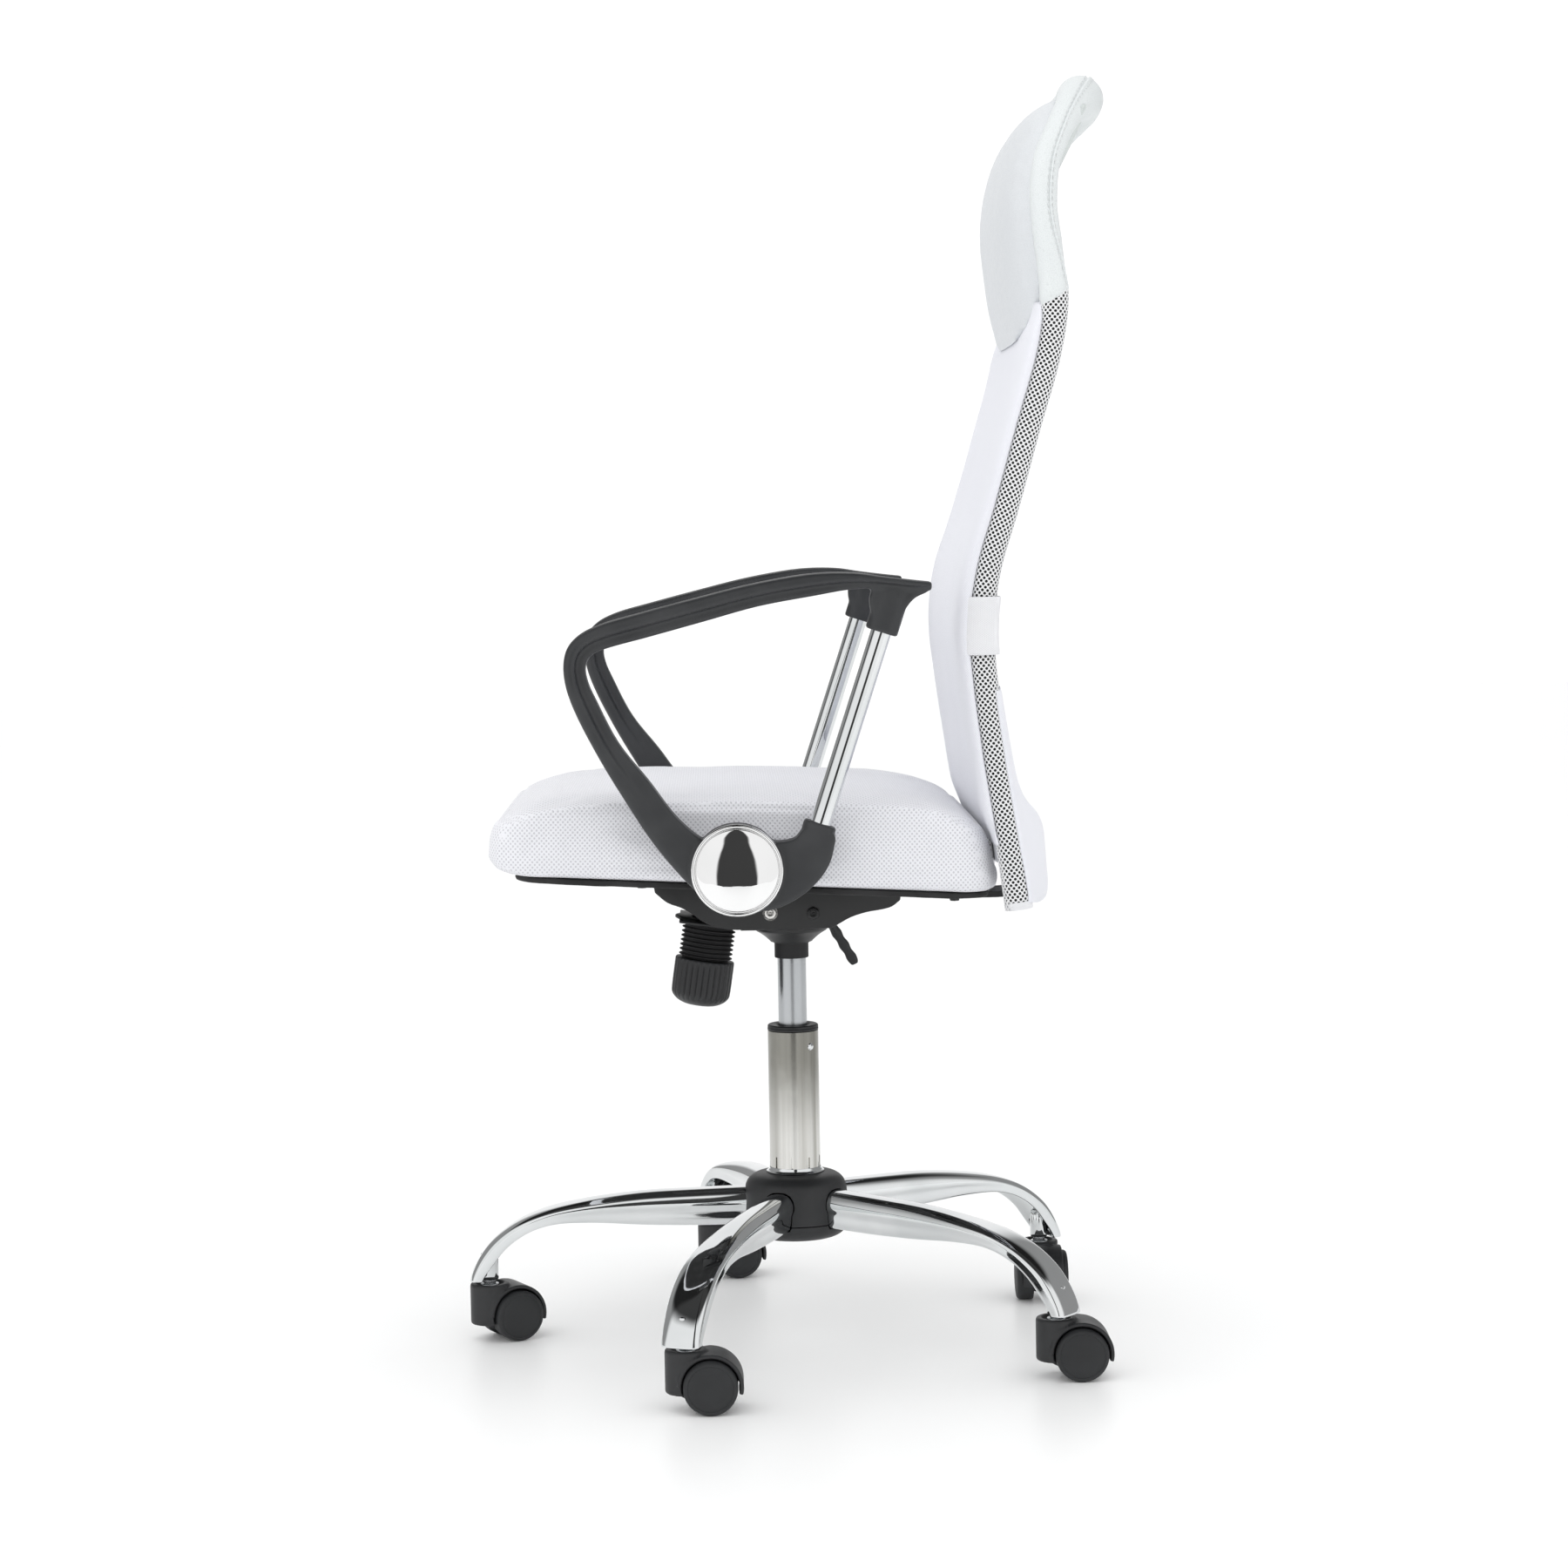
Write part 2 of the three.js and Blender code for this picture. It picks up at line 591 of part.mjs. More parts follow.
// Side outline of the headrest pad: up the front, down the back.
const PAD_SIDE = [
  [213, 967], [206, 982], [203, 1005], [201, 1035], [199, 1062], [198, 1085], [201, 1106], [208, 1129],
  [221, 1155], [232, 1172], [240, 1180], [242, 1174], [238, 1160], [232, 1144], [229, 1107], [229, 1076],
  [233, 1040], [235, 1014], [231, 1001], [219, 984],
];

function backPanel() {
  const heights = [538, 572, 610, 646, 675, 700, 728, 755, 784, 813, 848, 883, 918, 953, 982];
  const front = heights.map((z) => [uprightY(z) - 22, z]);
  const rear = heights.map((z) => [uprightY(z) - 13.2, z]).reverse();
  return slab([...front, ...rear].reverse(), -218, 218);
}

// Middle line of the cloth cover behind the bracket, from its lower edge up: [y, z].
const REAR_LINE = [
  [246, 440], [248.5, 452], [248, 464], [246.5, 490], [244.5, 508], [238.5, 519], [231, 527], [224, 538],
  [217, 558], [211, 588], [207.5, 612], [205.5, 642],
];
const REAR_HALF = 204;
const REAR_THICK = 3;

// Stretched from tube to tube, with its middle pushed out by the bracket.
function rearCover() {
  const rows = REAR_LINE.length - 1;
  const geometry = bare(new THREE.BoxGeometry(1, 1, 1, 14, 1, rows));
  const position = geometry.attributes.position;
  for (let i = 0; i < position.count; i += 1) {
    const [middle, z] = REAR_LINE[Math.round((position.getZ(i) + 0.5) * rows)];
    const x = 2 * REAR_HALF * position.getX(i);
    const outer = mix(middle, uprightY(z) + 12.5, (Math.abs(x) / REAR_HALF) ** 2.2);
    position.setXYZ(i, x, outer + REAR_THICK * (position.getY(i) - 0.5), z);
  }
  return facingOut(geometry);
}

function lumbarStrap() {
  const heights = [679, 696, 714, 731];
  const near = heights.map((z) => [uprightY(z) + 11.5, z]);
  const far = heights.map((z) => [uprightY(z) + 14.5, z]).reverse();
  return slab([...near, ...far].reverse(), -224, 224);
}

// A flat steel bar from the tilt plate to the back frame's cross bar.
function backBracket() {
  const line = smooth([
    [55, 448], [90, 446], [112, 441], [160, 439], [205, 438.5], [226, 443], [236, 458], [237, 492],
    [221, 526], [208, 553], [203, 580], [202, 602],
  ], 34);
  const half = 3;
  const side = (sign) => line.map(([y, z], i) => {
    const [y0, z0] = line[Math.max(0, i - 1)];
    const [y1, z1] = line[Math.min(line.length - 1, i + 1)];
    const length = Math.hypot(y1 - y0, z1 - z0);
    return [y - (sign * half * (z1 - z0)) / length, z + (sign * half * (y1 - y0)) / length];
  });
  return slab([...side(-1), ...side(1).reverse()], -27, 27);
}

const CROSS_BAR_Z = 578;

function addBack() {
  addTo(object, 'back_frame', frameTube(0), blackSteel);
  const bar = cut(
    alongX(rod(9, -FRAME_X, FRAME_X, 12), uprightY(CROSS_BAR_Z), CROSS_BAR_Z),
    frameTube(GAP));
  addTo(object, 'back_cross_bar', bar, blackSteel);
  addTo(object, 'back_bracket', backBracket(), blackSteel);
  addTo(object, 'back_panel', backPanel(), whiteMesh);
  addTo(object, 'rear_cover', rearCover(), whiteMesh);
  addTo(object, 'lumbar_strap', lumbarStrap(), whiteMesh);
  addTo(object, 'headrest_cover', headrestCover(), whiteLeather);
  addTo(object, 'headrest_pad', slab([...PAD_SIDE].reverse(), -192, 192), whiteLeather);
}

// ---------------------------------------------------------------- arms
// Stations of the moulded loop from its rear tip over the pad, round the front and down to
// the disc: outer edge [y, z], inner edge [y, z].
const ARM_STATIONS = [
  [127, 746.5, 127, 739], [110, 748.5, 108, 738.5], [84, 752, 84, 741], [58, 756, 56, 741],
  [20, 756, 20, 735.5], [-33, 748, -30, 727], [-85, 736, -80, 714], [-137, 723, -132, 700.5],
  [-172, 713.5, -164, 692.5], [-191, 704.5, -177, 688], [-202, 693, -184, 682], [-206, 678, -186.5, 673],
  [-204.5, 659, -184, 660], [-197, 636, -177.5, 645], [-177, 595, -158, 606], [-154, 555, -131, 571],
  [-129, 515.5, -104, 535], [-103, 483, -78, 515], [-84, 464, -60, 515],
];
const PAD_STATIONS = 15;            // how many of them carry the wider pad
const PAD_SHARE = 0.55;             // how deep the pad is within the beam
const ARM_SOCKET_R = 14.2;
// The chrome tube's axis: [y, z] at its foot and head.
const TUBE_FOOT = [15.5, 506];
const TUBE_HEAD = [91.4, 733];

function alongTube(radius, start, end) {
  const axisPoint = (share) => new THREE.Vector3(
    ARM_X, mix(TUBE_FOOT[0], TUBE_HEAD[0], share), mix(TUBE_FOOT[1], TUBE_HEAD[1], share));
  const foot = axisPoint(start);
  const head = axisPoint(end);
  const length = foot.distanceTo(head);
  const lean = Math.atan2(head.y - foot.y, head.z - foot.z);
  return rod(radius, 0, length, 12).rotateX(-lean).translate(foot.x, foot.y, foot.z);
}

function armLoop() {
  const outer = ARM_STATIONS.map(([y, z]) => [y, z]);
  const inner = ARM_STATIONS.map(([, , y, z]) => [y, z]).reverse();
  const padInner = ARM_STATIONS.slice(0, PAD_STATIONS).map(
    ([y0, z0, y1, z1]) => [mix(y0, y1, PAD_SHARE), mix(z0, z1, PAD_SHARE)]).reverse();
  const beam = slab([...outer, ...inner], ARM_X - 14, ARM_X + 14);
  const pad = slab([...outer.slice(0, PAD_STATIONS), ...padInner], ARM_X - 23, ARM_X + 23);
  const heel = slab([
    [-70, 462], [-45, 452], [-23, 453], [-10, 459], [14, 481], [28, 504], [31, 520], [9, 527],
    [1, 517], [-6, 515], [-40, 518],
  ], ARM_X - 14, ARM_X + 14);
  const boss = alongX(rod(DISC.r, ARM_IN, ARM_OUT, 20), DISC.y, DISC.z);
  const sockets = join(alongTube(ARM_SOCKET_R, -0.02, 0.105), alongTube(ARM_SOCKET_R, 0.87, 1.04));
  const body = join(beam, pad, heel, boss, sockets);
  return cut(body, alongTube(ARM_TUBE_R + GAP, -0.008, 1.004));
}

function armDisc() {
  const x = ARM_OUT + GAP;
  const disc = turned([[0, x], [41.5, x], [41.5, x + 3], [28, x + 6.4], [0, x + 8]], 24);
  return alongX(disc, DISC.y, DISC.z);
}

// The strap across the underside of the board, turned up at both ends to carry the arms.
function armStrap() {
  const low = -BOARD_THICK - GAP - STRAP_THICK;
  const outX = ARM_IN - GAP;
  const inX = outX - STRAP_THICK;
  const shape = new THREE.Shape([
    [-outX, low], [outX, low], [outX, 46], [inX, 46], [inX, low + STRAP_THICK], [-inX, low + STRAP_THICK],
    [-inX, 46], [-outX, 46],
  ].map(([x, z]) => new THREE.Vector2(x, z)));
  const strap = new THREE.ExtrudeGeometry(shape, { depth: 40, bevelEnabled: false });
  return strap.rotateX(Math.PI / 2).translate(0, DISC.y + 20, 0);
}

function mirrored(geometry) {
  return facingOut(bare(geometry).scale(-1, 1, 1));
}

function addArms() {
  addTo(seat, 'arm_strap', armStrap(), blackSteel);
  for (const [side, place] of [['left', (geometry) => geometry], ['right', mirrored]]) {
    addTo(object, `arm_loop_${side}`, place(armLoop()), charcoalPlastic);
    addTo(object, `arm_tube_${side}`, place(alongTube(ARM_TUBE_R, 0, 1)), chrome);
    addTo(object, `arm_disc_${side}`, place(armDisc()), chrome);
  }
}

addBase();
addCasters();
addColumn();
addMechanism();
addLever();
addSeat();
addBack();
addArms();

export default object;
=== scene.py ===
"""Swivel office chair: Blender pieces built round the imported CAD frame.

Shapes are drawn in millimetres and become metres when their mesh is made. The chair faces -Y,
+Z is up, the column stands on the Z axis and the floor is Z = 0.
"""

import math

import bmesh
import bpy
import numpy as np
from mathutils import Matrix, Vector, noise


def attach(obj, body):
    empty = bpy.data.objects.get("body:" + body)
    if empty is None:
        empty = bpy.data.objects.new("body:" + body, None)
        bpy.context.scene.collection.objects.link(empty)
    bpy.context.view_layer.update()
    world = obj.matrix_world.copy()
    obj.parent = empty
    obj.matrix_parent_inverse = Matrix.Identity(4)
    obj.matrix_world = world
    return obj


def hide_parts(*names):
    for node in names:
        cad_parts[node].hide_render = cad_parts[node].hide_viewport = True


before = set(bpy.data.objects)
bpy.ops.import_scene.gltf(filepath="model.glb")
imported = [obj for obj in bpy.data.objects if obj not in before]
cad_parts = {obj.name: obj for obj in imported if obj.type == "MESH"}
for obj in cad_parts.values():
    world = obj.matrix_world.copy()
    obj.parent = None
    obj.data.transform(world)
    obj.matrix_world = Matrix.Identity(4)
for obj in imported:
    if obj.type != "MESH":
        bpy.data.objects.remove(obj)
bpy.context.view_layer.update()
MM = 0.001

# ------------------------------------------------------------------ sizes shared with the CAD
STEM_CIRCLE = 305
FIRST_LEG = -20.7
LEG_COUNT = 5
CASTER_TURNS = (0, 0, -90, 5, 28)
WHEEL_R = 25
WHEEL_TRAIL = 22
WHEEL_IN = 9.4
HOOD_TOP = 57.4
COLUMN_R = 25
PIVOT = (-21, 427)
STOP = (20.5, 425.8)
CHEEK_IN = 49
CHEEK_OUT = 52
SEAT_SLOPE = 3.18
BOARD_TOP = 468.6
BOARD_THICK = 6
STRAP_THICK = 4
KNOB_TOP = (-85, 378)
KNOB_LEAN = 8.5
BELLOWS_TOP = 36
ARM_X = 252.5
ARM_IN = 237
ARM_OUT = 271
DISC = (-53, 490)
DISC_R = 41
FRAME_X = 215
FRAME_R = 10


# ------------------------------------------------------------------ mesh helpers
def build(name, points, faces):
    """A mesh object from points in millimetres."""
    mesh = bpy.data.meshes.new(name)
    mesh.from_pydata([Vector(p) * MM for p in points], [], faces)
    bm = bmesh.new()
    bm.from_mesh(mesh)
    bmesh.ops.remove_doubles(bm, verts=bm.verts, dist=2e-6)
    bmesh.ops.recalc_face_normals(bm, faces=bm.faces)
    bm.to_mesh(mesh)
    bm.free()
    obj = bpy.data.objects.new(name, mesh)
    bpy.context.collection.objects.link(obj)
    return obj


def bake(obj):
    """Apply every modifier."""
    depsgraph = bpy.context.evaluated_depsgraph_get()
    mesh = bpy.data.meshes.new_from_object(obj.evaluated_get(depsgraph))
    old = obj.data
    obj.modifiers.clear()
    obj.data = mesh
    bpy.data.meshes.remove(old)
    mesh.name = obj.name
    return obj


def modify(obj, kind, **settings):
    """Add a modifier with its settings."""
    modifier = obj.modifiers.new(kind.title(), kind)
    for key, value in settings.items():
        setattr(modifier, key, value)
    return obj


def bevel(obj, width, segments=2, angle=30):
    modify(obj, "BEVEL", width=width * MM, segments=segments, limit_method="ANGLE",
           angle_limit=math.radians(angle))
    return bake(obj)


def subdivide(obj):
    modify(obj, "SUBSURF", levels=1, render_levels=1)
    return bake(obj)


def remesh(obj, voxel, smoothing=0, factor=0.5):
    modify(obj, "REMESH", mode="VOXEL", voxel_size=voxel * MM)
    if smoothing:
        modify(obj, "SMOOTH", iterations=smoothing, factor=factor)
    return bake(obj)


def solidify(obj, thickness, offset=0.0):
    modify(obj, "SOLIDIFY", thickness=thickness * MM, offset=offset, use_even_offset=True)
    return bake(obj)


def carve(obj, cutters, operation="DIFFERENCE"):
    for cutter in cutters:
        modify(obj, "BOOLEAN", operation=operation, object=cutter, solver="EXACT")
    bake(obj)
    discard(cutters)
    return obj


def joined(objects):
    """One object that holds every object's mesh."""
    bm = bmesh.new()
    for obj in objects:
        obj.data.transform(obj.matrix_basis)
        bm.from_mesh(obj.data)
    target = objects[0]
    target.matrix_basis = Matrix.Identity(4)
    bm.to_mesh(target.data)
    bm.free()
    discard(objects[1:])
    return target


def shaded(obj, sharp=38):
    obj.data.polygons.foreach_set("use_smooth", [True] * len(obj.data.polygons))
    obj.data.set_sharp_from_angle(angle=math.radians(sharp))
    return obj


def finished(obj, material, body, stands_for=(), sharp=38):
    """Shade the piece, paint it and hang it on its body."""
    shaded(obj, sharp)
    obj.data.materials.clear()
    obj.data.materials.append(material)
    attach(obj, body)
    if stands_for:
        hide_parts(*stands_for)
    return obj


def copied(source, name, matrix):
    """A copy of a shape, moved by a matrix in millimetres."""
    copy = bpy.data.objects.new(name, source.data.copy())
    bpy.context.collection.objects.link(copy)
    return moved(copy, matrix)


def discard(objects):
    for obj in objects:
        bpy.data.objects.remove(obj)


def moved(obj, matrix):
    """Put a matrix in millimetres into the mesh."""
    scaled = matrix.copy()
    scaled.translation = matrix.translation * MM
    obj.data.transform(scaled)
    if matrix.determinant() < 0:
        obj.data.flip_normals()
    return obj


def mix(a, b, share):
    return a + (b - a) * share


def eased(value):
    t = min(1.0, max(0.0, value))
    return t * t * (3 - 2 * t)


def through(points, steps, closed=False):
    """Points on a centripetal Catmull-Rom curve through the given ones."""
    knots = [Vector(p).to_3d() if len(p) == 2 else Vector(p) for p in points]
    if closed:
        knots = [knots[-1], *knots, knots[0], knots[1]]
    else:
        knots = [2 * knots[0] - knots[1], *knots, 2 * knots[-1] - knots[-2]]
    out = []
    for i in range(1, len(knots) - 2):
        p0, p1, p2, p3 = knots[i - 1 : i + 3]
        d0, d1, d2 = (max((b - a).length ** 0.5, 1e-4) for a, b in ((p0, p1), (p1, p2), (p2, p3)))
        t1 = ((p1 - p0) / d0 - (p2 - p0) / (d0 + d1) + (p2 - p1) / d1) * d1
        t2 = ((p2 - p1) / d1 - (p3 - p1) / (d1 + d2) + (p3 - p2) / d2) * d1
        for k in range(steps):
            t = k / steps
            out.append(
                p1 * (2 * t**3 - 3 * t**2 + 1)
                + t1 * (t**3 - 2 * t**2 + t)
                + p2 * (3 * t**2 - 2 * t**3)
                + t2 * (t**3 - t**2)
            )
    if not closed:
        out.append(knots[-2])
    if len(points[0]) == 2:
        return [(p.x, p.y) for p in out]
    return out


def loft(name, rings, around=False, caps=True, open_ring=False):
    """Skin a list of rings of equal length.

    around joins the last ring to the first, and open_ring leaves each ring unclosed.
    """
    count = len(rings[0])
    points = [p for ring in rings for p in ring]
    faces = []
    spans = len(rings) if around else len(rings) - 1
    sides = count - 1 if open_ring else count
    for i in range(spans):
        a, b = i * count, ((i + 1) % len(rings)) * count
        for k in range(sides):
            n = (k + 1) % count
            faces.append((a + k, a + n, b + n, b + k))
    if caps and not around and not open_ring:
        faces.append(tuple(reversed(range(count))))
        faces.append(tuple(range((len(rings) - 1) * count, len(rings) * count)))
    return build(name, points, faces)


def lathe(name, profile, sides=64, shape=None, ring=False):
    """Turn [radius, height] pairs about Z. shape(angle, radius, height) may change the radius.

    ring joins the profile's ends, for a body with a hole through it.
    """
    rings = []
    for r, z in profile:
        circle = []
        for k in range(sides):
            angle = 2 * math.pi * k / sides
            radius = shape(angle, r, z) if shape else r
            circle.append((radius * math.cos(angle), radius * math.sin(angle), z))
        rings.append(circle)
    return loft(name, rings, around=ring, caps=not ring)


def slab(name, outline, x0, x1):
    """A side outline of (y, z) pairs given a thickness along X."""
    rings = [[(x, y, z) for y, z in outline] for x in (x0, x1)]
    return loft(name, rings)


def plan_slab(name, outline, z0, z1):
    """A plan outline of (x, y) pairs given a thickness along Z."""
    rings = [[(x, y, z) for x, y in outline] for z in (z0, z1)]
    return loft(name, rings)


def brick(name, x0, x1, y0, y1, z0, z1):
    return plan_slab(name, [(x0, y0), (x1, y0), (x1, y1), (x0, y1)], z0, z1)


ALONG_X = Matrix.Rotation(math.pi / 2, 4, "Y")


def at(x, y, z):
    return Matrix.Translation((x, y, z))


def turn(degrees, axis):
    return Matrix.Rotation(math.radians(degrees), 4, axis)


def superellipse(count, a, b, power):
    out = []
    for k in range(count):
        angle = 2 * math.pi * k / count
        c, s = math.cos(angle), math.sin(angle)
        out.append((
            a * math.copysign(abs(c) ** (2 / power), c),
            b * math.copysign(abs(s) ** (2 / power), s),
        ))
    return out


def ripple(point, scale, seed=0.0):
    """Smooth noise from -1 to 1 at a place in millimetres."""
    return noise.noise(Vector(point) / scale + Vector((seed, seed, seed)))


def push(obj, rule):
    """Move each vertex by rule(point, normal), all in millimetres."""
    mesh = obj.data
    places = np.empty(len(mesh.vertices) * 3)
    normals = np.empty(len(mesh.vertices) * 3)
    mesh.vertices.foreach_get("co", places)
    mesh.vertices.foreach_get("normal", normals)
    places = places.reshape(-1, 3)
    for i, normal in enumerate(normals.reshape(-1, 3)):
        places[i] += np.array(rule(Vector(places[i] / MM), Vector(normal))) * MM
    mesh.vertices.foreach_set("co", places.ravel())
    mesh.update()
    return obj


# ------------------------------------------------------------------ materials
class Paint:
    """A Principled material with a few short ways to wire its nodes."""

    def __init__(self, name, **sockets):
        self.material = bpy.data.materials.new(name)
        self.material.use_nodes = True
        self.tree = self.material.node_tree
        self.shader = self.tree.nodes["Principled BSDF"]
        for key, value in sockets.items():
            self.shader.inputs[key.replace("_", " ")].default_value = value
        where = self.tree.nodes.new("ShaderNodeTexCoord")
        self.place = where.outputs["Object"]
        self.facing = where.outputs["Normal"]

    def node(self, kind, inputs=None, **settings):
        made = self.tree.nodes.new(kind)
        for key, value in settings.items():
            setattr(made, key, value)
        for key, value in (inputs or {}).items():
            if isinstance(value, bpy.types.NodeSocket):
                self.tree.links.new(value, made.inputs[key])
            else:
                made.inputs[key].default_value = value
        return made

    def math(self, operation, a, b=0.0):
        return self.node("ShaderNodeMath", {0: a, 1: b}, operation=operation).outputs[0]

    def stretched(self, x, y, z):
        made = self.node("ShaderNodeMapping", {"Vector": self.place, "Scale": (x, y, z)})
        return made.outputs[0]

    def noise(self, scale, detail=2.0, vector=None, roughness=0.5):
        inputs = {"Vector": vector or self.place, "Scale": scale, "Detail": detail, "Roughness": roughness}
        return self.node("ShaderNodeTexNoise", inputs).outputs["Fac"]

    def cells(self, scale):
        inputs = {"Vector": self.place, "Scale": scale}
        return self.node("ShaderNodeTexVoronoi", inputs, feature="DISTANCE_TO_EDGE").outputs["Distance"]

    def ramp(self, value, low, high, start=0.0, end=1.0):
        inputs = {"Value": value, "From Min": low, "From Max": high, "To Min": start, "To Max": end}
        return self.node("ShaderNodeMapRange", inputs, interpolation_type="SMOOTHSTEP").outputs[0]

    def blend(self, share, a, b):
        made = self.node("ShaderNodeMix", data_type="RGBA")
        for index, value in ((0, share), (6, a), (7, b)):
            if isinstance(value, bpy.types.NodeSocket):
                self.tree.links.new(value, made.inputs[index])
            else:
                made.inputs[index].default_value = value
        return made.outputs[2]

    def bump(self, height, distance, strength=1.0, below=None):
        inputs = {"Height": height, "Distance": distance * MM, "Strength": strength}
        if below is not None:
            inputs["Normal"] = below
        return self.node("ShaderNodeBump", inputs).outputs[0]

    def set(self, **links):
        for key, value in links.items():
            self.tree.links.new(value, self.shader.inputs[key.replace("_", " ")])
        return self.material


def rgb(red, green, blue):
    return (red, green, blue, 1.0)


def polished(name, colour, dark, rough, wave=0.12, patchy=0.4):
    """Plated metal: faint waviness, hairline scratches and slightly uneven polish."""
    p = Paint(name, Metallic=1.0, Roughness=rough)
    cloud = p.noise(14, 3)
    hair = p.noise(60, 3, p.stretched(1, 1, 14))
    low, high = rough * (1 - patchy), rough * (1 + patchy)
    rise = p.bump(p.noise(9, 1), wave)
    return p.set(
        Base_Color=p.blend(p.ramp(cloud, 0.3, 0.7), rgb(*dark), rgb(*colour)),
        Roughness=p.ramp(p.math("MULTIPLY", cloud, hair), 0.1, 0.45, low, high),
        Normal=p.bump(hair, 0.003, patchy, rise),
    )


def column_plate():
    """Thin warm plating with streaks along the axis, darker towards the top of the tube."""
    p = Paint("column_chrome", Metallic=1.0, Roughness=0.13)
    height = p.node("ShaderNodeSeparateXYZ", {0: p.place}).outputs[2]
    streak = p.noise(34, 3, p.stretched(1.6, 1.6, 0.03))
    fine = p.noise(150, 2, p.stretched(1.6, 1.6, 0.02))
    cloud = p.noise(30, 3)
    upper = p.math("MULTIPLY", p.ramp(height, 0.19, 0.285), p.ramp(cloud, 0.15, 0.55, 0.75, 1.0))
    bright = p.blend(p.ramp(streak, 0.38, 0.62), rgb(0.38, 0.37, 0.335), rgb(0.70, 0.695, 0.67))
    darker_at_top = p.blend(p.ramp(streak, 0.38, 0.62), rgb(0.115, 0.112, 0.096), rgb(0.25, 0.246, 0.222))
    shade = p.blend(
        p.ramp(fine, 0.35, 0.65, 0.0, 0.22), p.blend(upper, bright, darker_at_top), rgb(0.34, 0.33, 0.30)
    )
    return p.set(Base_Color=shade, Roughness=p.ramp(cloud, 0.3, 0.7, 0.10, 0.17))


def grained(name, colour, worn, rough, grain, depth, scale):
    """Moulded plastic or powder coat: fine grain, with a slightly paler bloom in patches."""
    p = Paint(name, Roughness=rough)
    cloud = p.noise(22, 4)
    speck = p.cells(scale) if grain == "cell" else p.noise(scale, 3)
    return p.set(
        Base_Color=p.blend(p.ramp(cloud, 0.35, 0.75), rgb(*colour), rgb(*worn)),
        Roughness=p.ramp(cloud, 0.3, 0.7, rough - 0.06, rough + 0.06),
        Normal=p.bump(speck, depth, 0.6),
    )


def weave(p, pitch, rise):
    """Staggered ovals on the three flat sides, blended by the way the cloth faces."""
    split = p.node("ShaderNodeSeparateXYZ", {0: p.place}).outputs
    face = p.node("ShaderNodeSeparateXYZ", {0: p.facing}).outputs
    weights = [p.math("POWER", p.math("ABSOLUTE", face[axis]), 5.0) for axis in range(3)]
    total = p.math("ADD", p.math("ADD", weights[0], weights[1]), weights[2])
    height = None
    for axis, (u, v) in enumerate(((1, 2), (0, 2), (0, 1))):
        wave_u = p.math("COSINE", p.math("MULTIPLY", split[u], 2 * math.pi / (pitch * MM)))
        wave_v = p.math("COSINE", p.math("MULTIPLY", split[v], 2 * math.pi / (rise * MM)))
        pattern = p.math("MULTIPLY", p.math("MULTIPLY", wave_u, wave_v), weights[axis])
        height = pattern if height is None else p.math("ADD", height, pattern)
    return p.math("DIVIDE", height, total)


def cloth(name, colour, shade, pitch, rise, depth, fuzz=0.3):
    """Knitted white mesh with rows of small ovals, their openings coloured darker as painted shade."""
    p = Paint(name, Roughness=0.92, Sheen_Weight=fuzz, Sheen_Roughness=0.5)
    ovals = weave(p, pitch, rise)
    thread = p.noise(1400, 2)
    soft = p.noise(7, 2)
    hole = p.ramp(ovals, 0.1, 0.65)
    tone = p.blend(p.ramp(soft, 0.3, 0.7), rgb(*[c * 0.975 for c in colour]), rgb(*colour))
    rise_map = p.math("SUBTRACT", p.math("MULTIPLY", thread, 0.25), hole)
    return p.set(
        # The ovals' openings take the shade colour: painted shade in the knit's holes.
        Base_Color=p.blend(hole, tone, rgb(*shade)),
        Normal=p.bump(rise_map, depth, 0.8),
    )


def hide(name, colour, shade, rough=0.46):
    """White leather: pebble grain, fine creases and a faint change of tone, with the grooves between
    pebbles painted darker as painted shade.
    """
    p = Paint(name, Roughness=rough, Coat_Weight=0.06, Coat_Roughness=0.35)
    pebble = p.cells(620)
    crease = p.noise(85, 5, p.stretched(1, 1, 2.2), 0.6)
    soft = p.noise(6, 2)
    grain = p.ramp(pebble, 0.0, 0.12)
    tone = p.blend(p.ramp(soft, 0.3, 0.7), rgb(*shade), rgb(*colour))
    rise = p.bump(crease, 0.22, 0.35)
    return p.set(
        # The grooves between the pebbles are painted 0.94 of the shade colour: painted shade in the grain.
        Base_Color=p.blend(p.ramp(grain, 0.0, 1.0), rgb(*[c * 0.94 for c in shade]), tone),
        Roughness=p.ramp(crease, 0.3, 0.7, rough - 0.07, rough + 0.08),
        Normal=p.bump(grain, 0.05, 0.5, rise),
    )


CHROME = polished("chrome_plate", (0.79, 0.805, 0.81), (0.71, 0.73, 0.735), 0.045)
DISC_CHROME = polished("disc_chrome", (0.88, 0.88, 0.88), (0.84, 0.84, 0.84), 0.02, 0.03)
COLUMN_CHROME = column_plate()
STEEL = polished("ground_steel", (0.50, 0.515, 0.53), (0.46, 0.475, 0.49), 0.27, 0.02, 0.0)
BOLT = polished("zinc_bolt", (0.74, 0.73, 0.71), (0.60, 0.59, 0.57), 0.2, 0.05)
POWDER = grained("powder_coat", (0.0105, 0.0108, 0.0115), (0.020, 0.0205, 0.0215), 0.42, "noise", 0.05, 900)
BLACK = grained("black_plastic", (0.0135, 0.0142, 0.0155), (0.024, 0.025, 0.027), 0.46, "cell", 0.03, 1300)
CHARCOAL = grained(
    "charcoal_plastic", (0.024, 0.0255, 0.028), (0.034, 0.0355, 0.038), 0.5, "cell", 0.04, 1100
)
TYRE = grained(
    "wheel_plastic", (0.0125, 0.0135, 0.0150), (0.022, 0.0235, 0.0255), 0.55, "noise", 0.03, 1200
)
RUBBER = grained("rubber", (0.0085, 0.0085, 0.009), (0.016, 0.016, 0.017), 0.6, "noise", 0.04, 800)
FELT = grained("board_felt", (0.010, 0.010, 0.0105), (0.030, 0.030, 0.031), 0.85, "noise", 0.25, 420)
